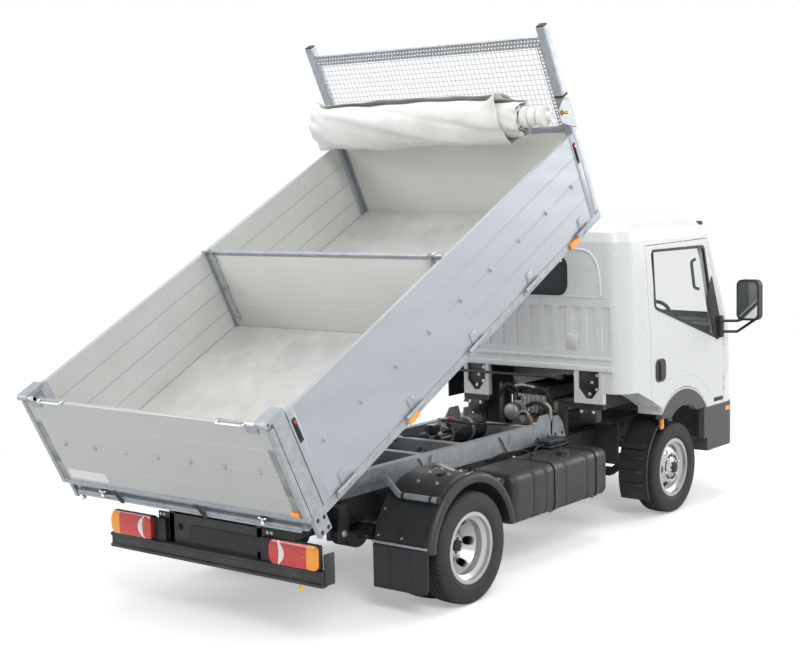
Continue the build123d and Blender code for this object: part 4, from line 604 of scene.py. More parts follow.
def treadTyre(w, centre):
    # radius along the section follows the sidewall's bulge and the flat crown; it drops in four grooves round
    # the tyre, and between the blocks in cuts across the shoulders
    half = w["width"] / 2
    crown = half - 0.027
    edges = []
    for g, wide in ((-0.045, 0.007), (-0.016, 0.009), (0.016, 0.009), (0.045, 0.007)):
        edges += [(g - wide / 2 - 0.001, 0), (g - wide / 2, 1), (g + wide / 2, 1), (g + wide / 2 + 0.001, 0)]
    across = [(-crown, 0)] + edges + [(crown, 0)]
    wall = [(half - 0.034, w["seat"]), (half - 0.03, w["flange"] - 0.002), (half - 0.017, w["flange"] + 0.004),
        (half - 0.009, 0.24), (half - 0.003, 0.256), (half - 0.004, 0.258), (half, 0.276), (half - 0.001, 0.294),
        (half - 0.004, 0.305), (half - 0.003, 0.307), (half - 0.007, 0.32), (half - 0.01, 0.33),
        (half - 0.016, 0.3405)]
    shoulder = [(-y, r) for y, r in wall] + [(y, 0) for y, _ in across] + wall[::-1]
    y = np.array([p[0] for p in shoulder])
    count = len(wall)
    radius = np.array([p[1] for p in shoulder], float)
    middle = slice(count, count + len(across))
    radius[middle] = w["radius"] - 0.0045 * (np.abs(y[middle]) / crown) ** 2.5
    ring = np.array([d for _, d in across], float)
    step = 2 * np.pi / w["blocks"]
    cuts = np.array([0.0, 0.012, 0.1, 0.112])  # a cut's two steep edges, as shares of one block
    turn = (np.arange(w["blocks"])[:, None] * step + np.concatenate([cuts, [0.4, 0.7]])[None] * step).ravel()
    inCut = np.tile([0, 1, 1, 0, 0, 0], w["blocks"])
    r = np.repeat(radius[None], len(turn), 0)
    r[:, middle] -= w["groove"] * ring[None]
    outerBlocks = (np.abs(y[middle]) > 0.048)[None] * inCut[:, None]
    inner = (np.abs(y[middle]) < 0.044)[None] * inCut[:, None] * 0.35
    r[:, middle] -= w["groove"] * 0.8 * np.maximum(outerBlocks, inner) * (1 - ring[None])
    for k in (count - 1, count + len(across)):
        r[:, k] -= 0.004 * inCut
    for k in (count - 2, count + len(across) + 1):
        r[:, k] -= 0.003 * inCut
    grid = np.zeros((len(turn), len(y), 3))
    grid[..., 0] = centre[0] + r * np.cos(turn)[:, None]
    grid[..., 1] = centre[1] + y[None]
    grid[..., 2] = centre[2] + r * np.sin(turn)[:, None]
    grid = np.concatenate([grid, grid[:1]])
    # the last column joins the first inside the rim, so the tyre is one closed ring
    quads = gridFaces(len(grid), len(y))
    wrap = len(turn) * len(y)
    faces = [tuple(i % wrap for i in q) for q in quads]
    return grid[:-1].reshape(-1, 3), faces


def wheelNuts(radius, count, y, out, size, height, centre):
    turn = np.arange(count) * 2 * np.pi / count + 0.3
    nut = facing(hexBolt(size, height), (0, out, 0))
    places = np.stack([centre[0] + radius * np.cos(turn), np.full(count, y), centre[2] + radius * np.sin(turn)], -1)
    return repeated(nut, places)


def makeWheels(w):
    x = truck["axleX"]
    for hand, side in (("left", 1), ("right", -1)):
        front = (x + truck["wheelbase"], side * w["front"], w["radius"])
        showPiece(f"tyreFront_{hand}", treadTyre(w, front), "tyreRubber", f"wheel_front_{hand}",
            replaces=(f"tyre_front_{hand}",))
        twins = [treadTyre(w, (x, side * w[k], w["radius"])) for k in ("outer", "inner")]
        showPiece(f"tyresRear_{hand}", twins, "tyreRubber", f"wheel_rear_{hand}", replaces=(f"tyres_rear_{hand}",))
        face = side * (w["front"] + w["face"])
        showPiece(f"nutsFront_{hand}",
            [wheelNuts(w["nutRing"], w["nuts"], face, side, 0.0125, 0.018, front),
            wheelNuts(0.045, 8, side * (w["front"] + w["hubFace"]), side, 0.006, 0.006, front)], "zincBolt",
            f"wheel_front_{hand}", 35, slot="rim_silver")
        cap = [(0, 0.0001), (0, 0.03), (-0.002, 0.034), (-0.014, 0.038), (-0.016, 0.052), (-0.022, 0.058),
            (-0.038, 0.062), (-0.0395, 0.12), (-0.0425, 0.125)]
        cap = [(side * (w["front"] + w["capFoot"] + p), r) for p, r in cap]
        showPiece(f"hubCap_{hand}", lathe(cap, (front[0], 0, front[2]), "y", 32), "rubberBlack",
            f"wheel_front_{hand}", 35)
        rear = (x, 0, w["radius"])
        meet = side * (w["outer"] - w["rearSet"] + w["rearNuts"])
        showPiece(f"nutsRear_{hand}", wheelNuts(w["rearRing"], w["nuts"], meet, side, 0.0125, 0.026, rear),
            "zincBolt", f"wheel_rear_{hand}", 35, slot="rim_silver")
        hub = side * (w["outer"] - w["rearSet"] + w["rearHub"])
        bell = [(0.014, 0.0001), (0.014, 0.03), (0.011, 0.036), (0.0, 0.038), (-0.002, 0.052)]
        bell = [(hub + side * p, r) for p, r in bell]
        showPiece(f"hubRear_{hand}", [lathe(bell, rear, "y", 32), wheelNuts(0.046, 6, hub, side, 0.006, 0.006, rear)],
            "rubberBlack", f"wheel_rear_{hand}", 35)


makeWheels(wheel)
print("wheels made")

# ---- side boards: an extruded profile with fine lines along it, carried the board's length
board = {"start": 0.135, "end": 3.314, "outer": 1.015, "inner": 0.99, "top": 0.602, "planks": 4, "lugs": 9,
    "lines": 3, "lineGap": 0.007, "lineDeep": 0.0008, "lug": 0.013}


def boardProfile(b):
    # outer face with groups of fine grooves at each plank's joint, a rounded top, and single joints inside
    out, into, top = b["outer"], b["inner"], b["top"]
    outer = [(out, 0.0)]
    pitch = top / b["planks"]
    for k in range(1, b["planks"]):
        for g in range(b["lines"]):
            z = k * pitch + (g - 1) * b["lineGap"]
            outer += [(out, z - 0.0016), (out - b["lineDeep"], z - 0.0006), (out - b["lineDeep"], z + 0.0006),
                (out, z + 0.0016)]
    outer += [(out, top - 0.022), (out, top - 0.004), (out - 0.004, top), (into + 0.004, top), (into, top - 0.004)]
    inner = []
    for k in range(b["planks"] - 1, 0, -1):
        z = k * pitch
        inner += [(into, z + 0.002), (into + 0.0018, z + 0.0006), (into + 0.0018, z - 0.0006), (into, z - 0.002)]
    return outer + inner + [(into, 0.0)]


def makeBoards(b):
    outer, inner, top = b["outer"], b["inner"], b["top"]
    profile = np.array(boardProfile(b))
    body = prism(profile, b["start"], b["end"], "x")
    pitch = (b["end"] - b["start"]) / b["lugs"]
    places = b["start"] + (np.arange(b["lugs"]) + 0.5) * pitch
    lug = join([facing(dome(b["lug"] * 1.5, 0.004, 3, 20), (0, 1, 0)),
        facing(lathe([(0, b["lug"]), (0.008, b["lug"] * 0.9), (0.0125, b["lug"] * 0.72), (0.0138, b["lug"] * 0.4),
        (0.0138, 0.0001)], (0, 0, 0), "z", 20), (0, 1, 0), (0, 0.001, 0))])
    lugs = repeated(lug, [(a, outer, 0.301) for a in places])
    # end caps: an upright channel at each end, with a sunk latch and its lever
    caps, latches, tips = [], [], []
    for a, way in ((b["start"], 1), (b["end"], -1)):
        low, high = sorted((a, a + way * 0.058))
        caps.append(slab((low, inner - 0.001, -0.002), (high, outer + 0.0045, top + 0.0015)))
        low, high = sorted((a + way * 0.012, a + way * 0.046))
        latches.append(slab((low, outer + 0.0035, 0.395), (high, outer + 0.0056, 0.545), 0.004, "y"))
        latches.append(slab(((low + high) / 2 - 0.007, outer + 0.004, 0.415),
            ((low + high) / 2 + 0.007, outer + 0.0125, 0.52), 0.003, "y"))
        tips.append(slab(((low + high) / 2 - 0.008, outer + 0.005, 0.512),
            ((low + high) / 2 + 0.008, outer + 0.0145, 0.532), 0.003, "y"))
    # hinge lugs along the foot
    hinges = []
    first, last = 0.335, 3.114
    for a in np.linspace(first, last, 5):
        hinges.append(slab((a - 0.03, outer - 0.001, 0.0), (a + 0.03, outer + 0.006, 0.075), 0.003, "x"))
        hinges.append(tube([(a - 0.03, 1.03, -0.01), (a + 0.03, 1.03, -0.01)], 0.012, 16))
        for u in (-0.018, 0.018):
            hinges.append(facing(dome(0.008, 0.006, 3, 12), (0, 1, 0), (a + u, outer + 0.005, 0.052)))
    lining = join([prism(np.array([(inner - 0.0006, low), (inner, low), (inner, high), (inner - 0.0006, high)]),
        b["start"] + 0.06, b["end"] - 0.06, "x") for low,
        high in ((0.024, 0.147), (0.154, 0.297), (0.305, 0.448), (0.455, 0.596))])
    for hand in ("left", "right"):
        riding = f"board_{hand}"
        turn = (lambda p: p) if hand == "left" else mirrored
        showPiece(f"boardSkin_{hand}", turn(body), "boardAlloy", riding, 25, replaces=(f"board_{hand}",))
        showPiece(f"boardLugs_{hand}", turn(lugs), "galvanised", riding)
        showPiece(f"boardCaps_{hand}", turn(caps), "boardAlloy", riding)
        showPiece(f"boardLatches_{hand}", turn(latches), "rubberBlack", riding)
        # the latch tips take the glowing red lamp finish, so they glow though they are no lamps: painted light
        showPiece(f"boardLatchTips_{hand}", turn(tips), "lampRed", riding)
        showPiece(f"boardHinges_{hand}", turn(hinges), "galvanised", riding)
        showPiece(f"boardLining_{hand}", turn(lining), "innerBoard", riding, 25)


makeBoards(board)
print("boards made")

# ---- tailgate
gate = {"low": -0.021, "top": 0.602, "thick": 0.025, "half": 1.015, "planks": 4, "lugs": 7, "notch": 0.925,
    "notchLow": 0.585}


def makeTailgate(g):
    # the plank profile carried across the bed, its outer face towards the rear
    low, top, thick, half, notch, notchLow = (g[n] for n in ("low", "top", "thick", "half", "notch", "notchLow"))
    rows = [(0.0, low)]
    pitch = (top - low) / g["planks"]
    for k in range(1, g["planks"]):
        for line in (-0.007, 0, 0.007):
            z = low + k * pitch + line
            rows += [(0.0, z - 0.0016), (0.0008, z - 0.0006), (0.0008, z + 0.0006), (0.0, z + 0.0016)]
    rows += [(0.0, top - 0.004), (0.004, top), (thick - 0.004, top), (thick, top - 0.004), (thick, low)]
    profile = np.array(rows)[::-1]
    side = np.concatenate([[(thick, notchLow)], profile[profile[:, 1] < notchLow], [(0.0, notchLow)]])

    def across(shape, start, end):
        # prism along y: its columns are z and x, so the profile's two columns change places
        return prism(shape[:, ::-1], start, end, "y")

    ends = [across(side, notch, half - 0.03), across(side, -half + 0.03, -notch)]
    skin = join([across(profile, -notch, notch)] + ends)
    lugs = repeated(
        facing(join([dome(0.019, 0.004, 3, 20), shifted(dome(0.012, 0.012, 4, 20), (0, 0, 0.002))]), (-1, 0, 0)),
        [(0, y, 0.29) for y in np.linspace(-0.8, 0.8, g["lugs"])])
    frames, pins = [], []
    for s in (-1, 1):
        near, far = sorted((s * (half - 0.034), s * half))
        frames.append(slab((-0.006, near, low), (thick + 0.001, far, notchLow - 0.002)))
        frames.append(slab((-0.01, min(s * 0.84, s * 0.925), top - 0.045),
            (0.0, max(s * 0.84, s * 0.925), top + 0.002), 0.003, "y"))
        pins.append(tube([(-0.005, s * 0.871, 0.615), (-0.005, s * 0.9302, 0.615)], 0.0135, 18))
        # the loop handle lying on the gate's top
        y = s * 0.74
        loop = [(0.004, y - 0.1, 0.604), (-0.021, y - 0.1, 0.608), (-0.023, y + 0.1, 0.608), (0.004, y + 0.1, 0.604)]
        pins.append(tube(roundedLine(loop, 0.012), 0.0065, 10))
        frames.append(slab((0.001, y - 0.115, top), (thick - 0.001, y + 0.115, top + 0.007), 0.002, "y"))
    pins.append(tube([(-0.005, 0.871, 0.615), (-0.005, 1.0, 0.615)], 0.012, 18))
    pins.append(tube([(-0.005, -1.0, 0.615), (-0.005, -0.871, 0.615)], 0.012, 18))
    hem = prism(np.array([(low, 0.0), (low + 0.03, 0.0), (low + 0.03, -0.004), (low, -0.004)])[::-1], -half + 0.034,
        half - 0.034, "y")
    plate = prism([(0.03, -0.0006), (0.095, -0.0006), (0.095, 0.0), (0.03, 0.0)][::-1], 0.56, 0.9, "y")
    amber = slab((-0.012, -0.965, 0.01), (0.0, -0.905, 0.04), 0.004, "y")
    showPiece("gateSkin", skin, "gateAlloy", "tailgate", 25, replaces=("tailgate",))
    showPiece("gateLugs", lugs, "galvanised", "tailgate")
    showPiece("gateFrame", frames + [hem], "galvanised", "tailgate")
    showPiece("gatePins", pins, "polishedSteel", "tailgate", 50)
    showPiece("gatePlate", plate, "offWhiteSheet", "tailgate", 25)
    # the reflector takes the glowing amber lamp finish, so it glows though it is no lamp: a painted reflection
    showPiece("gateReflector", amber, "lampAmber", "tailgate")


makeTailgate(gate)
print("tailgate made")

# ---- tarpaulin, rolled on its tube and sagging at its lower edge
tarp = {"a": 3.1687, "c": 0.8, "left": 0.985, "right": -0.78, "radius": 0.128, "wraps": 3.2, "cloth": 0.0016,
    "rows": 150, "steps": 170, "creases": 26, "seed": 11}


def makeTarp(t):
    # a spiral in the bed's a-c plane whose radius grows with the turn, with long creases that run along the roll,
    # a flattened underside and ends that crumple
    across = np.linspace(t["left"], t["right"], t["rows"])
    turn = np.linspace(0, 2 * np.pi * t["wraps"], t["steps"])
    y, q = np.meshgrid(across, turn, indexing="ij")
    share = q / turn[-1]
    # the outer layer is a sleeve that stops short of the inner roll's right end
    late = 1 / (1 + np.exp(-(q - 4.25 * np.pi) / 0.12))
    along = (t["left"] - y) / (t["left"] - t["right"])
    y = y + along * late * (0.125 + 0.02 * np.sin(q))
    r = t["radius"] * (0.45 + 0.55 * share) * (1 + 0.1 * np.cos(q - 0.9))
    # long folds that run aslant from the left end's top to the right end's foot, steep below and soft above
    for y0, q0, y1, q1, high, wide in ((0.95, 4.62, -0.7, 5.42, 0.017, 0.2), (0.6, 4.52, -0.35, 4.95, -0.013, 0.16),
            (0.97, 5.02, 0.15, 5.55, 0.014, 0.15), (0.2, 4.7, -0.66, 5.02, 0.01, 0.13),
            (-0.1, 5.3, -0.66, 5.62, 0.011, 0.12)):
        path = (q0 + (q1 - q0) * (y0 - y) / (y0 - y1)) * np.pi
        off = q - path
        fade = np.clip((y0 - y) / 0.12, 0, 1) * np.clip((y - y1) / 0.12 + 1, 0, 1)
        r = r + high * np.exp(-((off / np.where(off > 0, wide * 0.55, wide * 2.2)) ** 2)) * fade * late
    # the flap turned up at the sleeve's right end
    r = r + 0.075 * np.exp(-(((q - 4.56 * np.pi) / 0.3) ** 2)) * np.clip((along - 0.9) / 0.1, 0, 1) ** 1.5
    fold = np.zeros_like(r)
    random = np.random.default_rng(t["seed"])
    for _ in range(t["creases"]):
        place, slope = random.uniform(0, 2 * np.pi * t["wraps"]), random.uniform(-0.9, 0.9)
        wide = random.uniform(0.1, 0.35)
        middle, reach = random.uniform(t["right"], t["left"]), random.uniform(0.25, 0.8)
        line = q - place - slope * (y - middle)
        fold += random.uniform(-0.01, 0.013) * np.exp(-((line / wide) ** 2)) * np.exp(-(((y - middle) / reach) ** 2))
    end = np.minimum(np.abs(y - t["left"]), np.abs(y - t["right"]))
    crumple = np.exp(-((end / 0.1) ** 2))
    fold += 0.012 * crumple * np.sin(5.3 * q + 1.3) + 0.008 * crumple * np.sin(9.1 * q + 40 * y)
    wave = 0.004 * np.sin(7 * y + 0.6 * q) + 0.003 * np.sin(19 * y + 1.9 * q)
    r = r + (fold + wave) * (0.35 + 0.65 * share)
    sag = -0.05 * np.clip(-np.sin(q + np.pi / 7), 0, 1) * share
    drop = sag + 0.012 * share * np.sin(q) * (1 + 0.5 * np.sin(3.1 * y + 0.6))
    a = t["a"] + r * np.cos(q) * np.where(np.cos(q) > 0, 1.0, 1.06)
    c = t["c"] + r * np.sin(q) * 1.08 + drop
    points = np.stack([a, y, c], -1)
    faces = [f[::-1] for f in gridFaces(len(across), len(turn), False)]
    piece = showPiece("tarpRoll", (points.reshape(-1, 3), faces), "tarpCloth", "bed", 60, replaces=("tarp_roll",),
        closedShape=False)
    wall = piece.modifiers.new("cloth", "SOLIDIFY")
    wall.thickness, wall.offset = t["cloth"], 0
    length = float(np.sum(np.hypot(np.diff(a[t["rows"] // 2]), np.diff(c[t["rows"] // 2]))))
    tubeParts = [tube([(t["a"], 0.99, t["c"]), (t["a"], -1.0, t["c"])], 0.03, 24, up=(1, 0, 0))]
    for y0, radius in ((-0.8, 0.072), (-0.86, 0.06), (-0.93, 0.068)):
        tubeParts.append(lathe(
            [(y0 + 0.02, radius * 0.6), (y0 + 0.015, radius), (y0 - 0.02, radius * 0.97), (y0 - 0.032, radius * 0.7)],
            (0, 0, 0), "y", 28))
    rolls = join([tubeParts[0]] + [shifted(p, (t["a"], 0, t["c"])) for p in tubeParts[1:]])
    showPiece("tarpTube", rolls, "offWhiteSheet", "bed", 45, slot="tarp")


makeTarp(tarp)
print("tarp made")


def brick(low, high):
    # a plain box from its low and high corners
    points = [(x, y, z) for x in (low[0], high[0]) for y in (low[1], high[1]) for z in (low[2], high[2])]
    return np.array(points, float), [(0, 1, 3, 2), (4, 6, 7, 5), (0, 4, 5, 1), (2, 3, 7, 6), (0, 2, 6, 4),
        (1, 5, 7, 3)]


def across(low, high):
    return (low, high) if low < high else (high, low)


# ---- headboard: posts, wall, perforated rail and side strips, and the wire mesh
head = {"rear": 3.319, "front": 3.379, "half": 1.015, "post": 0.06, "top": 1.352, "wall": 0.607, "middle": 0.652,
    "railLow": 1.21, "railHigh": 1.276, "pitch": 0.035, "wire": 0.0016, "hole": 0.0255, "crimp": 0.0018}


def makeHeadboard(h):
    rear, railLow, railHigh, hole, pitch = h["rear"], h["railLow"], h["railHigh"], h["hole"], h["pitch"]
    inside = h["half"] - h["post"]
    posts, ends = [], []
    for s in (-1, 1):
        low, high = across(s * inside, s * h["half"])
        posts.append(slab((rear, low, 0.0), (h["front"], high, h["top"] - 0.006), 0.006, "z", 3))
        ends.append(
            slab((rear + 0.002, low + 0.002, h["top"] - 0.008), (h["front"] - 0.002, high - 0.002, h["top"]), 0.004))
    posts.append(slab((rear, -inside, h["wall"]), (rear + 0.024, inside, h["middle"]), 0.003, "y"))
    showPiece("headPosts", posts, "galvanised", "bed", replaces=("headboard",))
    showPiece("headCaps", ends, "rubberBlack", "bed")
    wall = [slab((rear, -inside, 0.0), (rear + 0.025, inside, h["wall"]), 0.002, "y")]
    for c in (0.2, 0.4):
        wall.append(slab((rear - 0.0012, -inside, c - 0.003), (rear + 0.001, inside, c + 0.003), 0.001, "y"))
    showPiece("headWall", wall, "offWhiteSheet", "bed", 30)
    # the rail: three strips and the webs left between two staggered rows of holes
    a0, a1 = rear + 0.002, rear + 0.006
    middle = (railLow + railHigh) / 2
    rail = [brick((a0, -inside, c0), (a1, inside, c1)) for c0,
        c1 in ((railLow, railLow + 0.014), (middle - 0.007, middle + 0.007), (railHigh - 0.014, railHigh))]
    rail.append(brick((a0, -inside, railHigh - 0.003), (rear + 0.032, inside, railHigh)))
    places = np.arange(-inside, inside - hole, hole)
    for start, c0, c1 in ((0.0, railLow + 0.008, middle - 0.003), (hole / 2, middle + 0.003, railHigh - 0.008)):
        rail.append(repeated(brick((a0, start, c0), (a1, start + 0.0145, c1)), [(0, b, 0) for b in places]))
    # side strips with their own row of holes
    for s in (-1, 1):
        for near, far in ((inside - 0.004, inside), (inside - 0.03, inside - 0.024)):
            low, high = across(s * near, s * far)
            rail.append(brick((a0, low, h["middle"]), (a1, high, railLow)))
        low, high = across(s * (inside - 0.026), s * (inside - 0.002))
        rail.append(repeated(brick((a0, low, 0), (a1, high, 0.0095)),
            [(0, 0, c) for c in np.arange(h["middle"], railLow, hole)]))
    showPiece("headRail", rail, "galvanised", "bed", 0)
    # the mesh: each wire weaves before and behind the wires that it crosses
    wireY = np.arange(-inside + pitch / 2, inside, pitch)
    up = np.arange(h["middle"] + pitch / 2, railLow + 0.01, pitch)
    wires = []
    for k, b in enumerate(wireY):
        c = np.linspace(h["middle"] - 0.01, railLow + 0.012, 2 * len(up) + 1)
        a = rear + 0.014 + h["crimp"] * np.cos(np.pi * (c - up[0]) / pitch + np.pi * k)
        wires.append(tube(np.stack([a, np.full_like(c, b), c], -1), h["wire"], 4, up=(0, 1, 0)))
    for k, c in enumerate(up):
        b = np.linspace(-inside + 0.003, inside - 0.003, 2 * len(wireY) + 1)
        a = rear + 0.014 - h["crimp"] * np.cos(np.pi * (b - wireY[0]) / pitch + np.pi * k)
        wires.append(tube(np.stack([a, b, np.full_like(b, c)], -1), h["wire"], 4, up=(0, 0, 1)))
    showPiece("headMesh", wires, "galvanised", "bed", 60)
    # the roller's end plate on the right post, with its pin, and a strap round the post above it
    outline = [(3.215, 0.8), (3.3, 0.848), (3.389, 0.822), (3.375, 0.616), (3.228, 0.716)]
    end = prism(np.array(outline)[:, ::-1], -1.021, -1.016, "y")
    showPiece("rollerPlate", end, "galvanised", "bed", 30, bevel=0.0015)
    pin = join([tube([(3.262, -1.0, 0.775), (3.262, -1.072, 0.775)], 0.011, 16, up=(1, 0, 0)),
        tube([(3.262, -1.02, 0.775), (3.262, -1.032, 0.775)], 0.019, 6, up=(1, 0, 0))])
    showPiece("rollerPin", pin, "brassPin", "bed")
    strap = slab((3.313, -1.0205, 0.852), (3.384, -0.95, 0.868), 0.006)
    showPiece("postStrap", strap, "rubberBlack", "bed")


makeHeadboard(head)
print("headboard made")

# ---- partition: a panel with a bright top edge, guide channels at its ends and two latch bars
divide = {"a": 1.716, "thick": 0.03, "half": 0.985, "top": 0.607, "foot": 0.021, "cap": 0.012}


def makePartition(d):
    half, top = d["half"], d["top"]
    rear, front = d["a"], d["a"] + d["thick"]
    panel = [slab((rear + 0.003, -half, d["foot"]), (front - 0.003, half, top - d["cap"]), 0.002, "y")]
    for c in (0.2, 0.4):
        panel.append(
            slab((rear + 0.002, -half + 0.03, c - 0.002), (front - 0.002, half - 0.03, c + 0.002), 0.001, "y"))
    showPiece("partitionPanel", panel, "offWhiteSheet", "bed", 30, replaces=("partition",))
    trim = [slab((rear, -half, top - d["cap"] - 0.014), (front, half, top), 0.004, "y", 3)]
    for s in (-1, 1):
        low, high = across(s * (half - 0.03), s * half)
        trim.append(slab((rear, low, d["foot"]), (front, high, top - 0.01)))
        # the latch bar stands beside the end channel and its head rests on the side board's top
        y = s * (half - 0.07)
        trim.append(tube([(rear - 0.01, y, 0.075), (rear - 0.01, y, top + 0.028)], 0.008, 12, up=(1, 0, 0)))
        for c in (0.1, 0.32, 0.54):
            trim.append(slab((rear - 0.02, y - 0.016, c), (rear + 0.001, y + 0.016, c + 0.024)))
        low, high = across(s * (half - 0.09), s * (half + 0.018))
        trim.append(slab((rear - 0.018, low, top + 0.001), (rear - 0.002, high, top + 0.013), 0.004, "y"))
        trim.append(slab((rear - 0.02, min(y, y + s * 0.028) - 0.008, top + 0.012),
            (rear + 0.018, max(y, y + s * 0.028) + 0.008, top + 0.02), 0.004, "x"))
    showPiece("partitionTrim", trim, "galvanised", "bed")


makePartition(divide)
print("partition made")

# ---- corner posts: welded plates with bolt holes at the foot, and the tailgate's locks
corner = {"half": 1.015, "hole": 0.013}


def makeCorners(k):
    holes, plates, locks, knobs = [], [], [], []
    for s in (-1, 1):
        out = s * (k["half"] + 0.0002)
        for a, c in ((0.055, -0.05), (0.106, -0.062), (0.052, -0.128), (0.108, -0.132)):
            # each open bolt hole is a thin black disc just inside the plate: painted shade for the dark inside of the
            # hole
            holes.append(facing(lathe([(0, k["hole"]), (0.0014, k["hole"])], (0, 0, 0), "z", 20), (0, s, 0),
                (a, out - s * 0.0004, c)))
            plates.append(facing(lathe(
                [(0, k["hole"] + 0.004), (0.001, k["hole"] + 0.0035), (0.0012, k["hole"]), (0.0, k["hole"])],
                (0, 0, 0), "z", 20, closed=True), (0, s, 0), (a, out, c)))
        # a lock under the tailgate's lower edge: black body and a bright ball
        y = s * 0.66
        locks.append(slab((-0.006, y - 0.018, -0.052), (0.03, y + 0.018, -0.024), 0.005))
        knobs.append(tube([(0.0, y - 0.028, -0.046), (0.0, y + 0.028, -0.046)], 0.009, 12, up=(1, 0, 0)))
        knobs.append(tube([(-0.004, y, -0.04), (-0.016, y, -0.062)], 0.007, 12, up=(0, 1, 0)))
        knobs.append(shifted(dome(0.013, 0.013, 5, 16), (-0.014, y, -0.068)))
    locks.append(slab((0.036, 0.93, -0.15), (0.075, 0.965, -0.1), 0.006))
    knobs.append(shifted(dome(0.017, 0.017, 5, 18), (0.04, 0.95, -0.166)))
    showPiece("cornerHoleShade", holes, "rubberBlack", "bed")
    showPiece("cornerRings", plates, "galvanised", "bed")
    showPiece("gateLocks", locks, "rubberBlack", "bed")
    showPiece("gateKnobs", knobs, "polishedSteel", "bed", 50)


makeCorners(corner)
print("corners made")

# ---- edge beams: markers, hinge bolts, and the rear channel under the tailgate with two black straps
edge = {"outer": 1.01, "low": -0.06, "high": -0.005, "start": 0.135, "end": 3.36}


def makeEdges(e):
    lips, markers, bolts, straps = [], [], [], []
    for s in (-1, 1):
        low, high = across(s * (e["outer"] - 0.03), s * (e["outer"] + 0.003))
        for c in (e["low"], e["high"] - 0.008):
            lips.append(slab((e["start"], low, c), (e["end"], high, c + 0.008), 0.002, "x"))
        for a in (0.95, 2.93):
            low, high = across(s * (e["outer"] + 0.002), s * (e["outer"] + 0.022))
            markers.append(slab((a, low, -0.062), (a + 0.105, high, -0.02), 0.006, "y"))
        places = np.linspace(e["start"] + 0.1, e["end"] - 0.1, 13)
        bolts.append(repeated(facing(dome(0.007, 0.005, 3, 12), (0, s, 0), (0, s * (e["outer"] - 0.005), -0.033)),
            [(a, 0, 0) for a in places]))
    # the rear channel, with two black tie straps that hang over it
    lips.append(slab((0.002, -0.92, -0.1), (0.03, 0.92, -0.07), 0.004, "y"))
    lips.append(slab((-0.004, -0.92, -0.104), (0.006, 0.92, -0.09), 0.003, "y"))
    for y in (0.547, -0.155):
        ends = [(y - 0.052, -0.108), (y - 0.02, -0.108), (y + 0.016, -0.022), (y - 0.016, -0.022)]
        straps.append(prism(ends, -0.01, -0.006, "x"))
    showPiece("edgeLips", lips, "galvanised", "bed")
    showPiece("sideMarkers", markers, "lampAmber", "bed")
    showPiece("edgeBolts", bolts, "zincBolt", "bed")
    showPiece("rearStraps", straps, "rubberBlack", "bed", 30)


makeEdges(edge)
print("edges made")

# ---- rear lamps: rounded lens with an amber, a red and a clear part, on the black underrun bar
lampUnit = {"rear": -1.272, "front": -1.21, "near": 0.49, "far": 0.85, "low": 0.4655, "high": 0.605, "round": 0.028}


def makeRearLamps(m):
    # each part is the lens outline cut between two places, its rear face crowned by a shallow bevel
    rear, near = m["rear"], m["near"]
    rows = {"lampRed": [(0.068, 0.285), (0.0, 0.062)], "lampAmber": [(0.285, 0.36)], "lampClear": [(0.062, 0.068)]}
    middle = (m["low"] + m["high"]) / 2
    tall = (m["high"] - m["low"]) / 2
    wide = m["far"] - near
    for tone, spans in rows.items():
        shapes = []
        for start, end in spans:
            u = np.linspace(start, end, 14)
            cornerDepth = np.minimum(np.clip(m["round"] - u, 0, None), m["round"]) + np.clip(u - (wide - m["round"]),
                0, None)
            half = tall - m["round"] + np.sqrt(np.clip(m["round"] ** 2 - cornerDepth ** 2, 0, None))
            turn = np.linspace(0, 1, 9)
            y = np.repeat((near + u)[:, None], 9, 1)
            z = middle + half[:, None] * (2 * turn[None] - 1)
            if tone != "lampAmber":
                bend = 0.05 * np.clip(1 - (2 * turn - 1) ** 2, 0, 1)[None]
                share = np.interp(u, (0, 0.062, 0.068, 0.285), (0, 0.3, 1, 0))  # the clear part is a crescent
                y = y + bend * share[:, None]
            crown = 0.01 * np.sqrt(np.clip(1 - ((2 * turn - 1) ** 6)[None], 0, 1)) * np.ones_like(y)
            back = np.stack([rear + 0.01 - crown, y, z], -1)
            foot = np.stack([np.full_like(y, rear + 0.022), y, z], -1)
            grid = np.concatenate([back, foot[:, ::-1]], 1)
            shapes.append(loops(grid))
        showPiece("rear_" + tone, bothSides(shapes), tone, "chassis", 30, slot="lamp",
            replaces=("tail_lamps",) if tone == "lampRed" else ())
    body = slab((rear + 0.021, near - 0.004, m["low"]), (m["front"], m["far"] + 0.004, m["high"] + 0.003), 0.012, "x",
        4)
    body = join([body, brick((-1.238, 0.395, 0.4655), (-1.214, 0.5, 0.598))])
    showPiece("lampBodies", bothSides(body), "rubberBlack")
    # two screws through each lens
    showPiece("lampScrews",
        bothSides(repeated(facing(dome(0.004, 0.003, 3, 10), (-1, 0, 0)),
        [(rear + 0.001, near + u, middle) for u in (0.075, 0.262)])), "zincBolt")


makeRearLamps(lampUnit)

bar = {"half": 0.874}


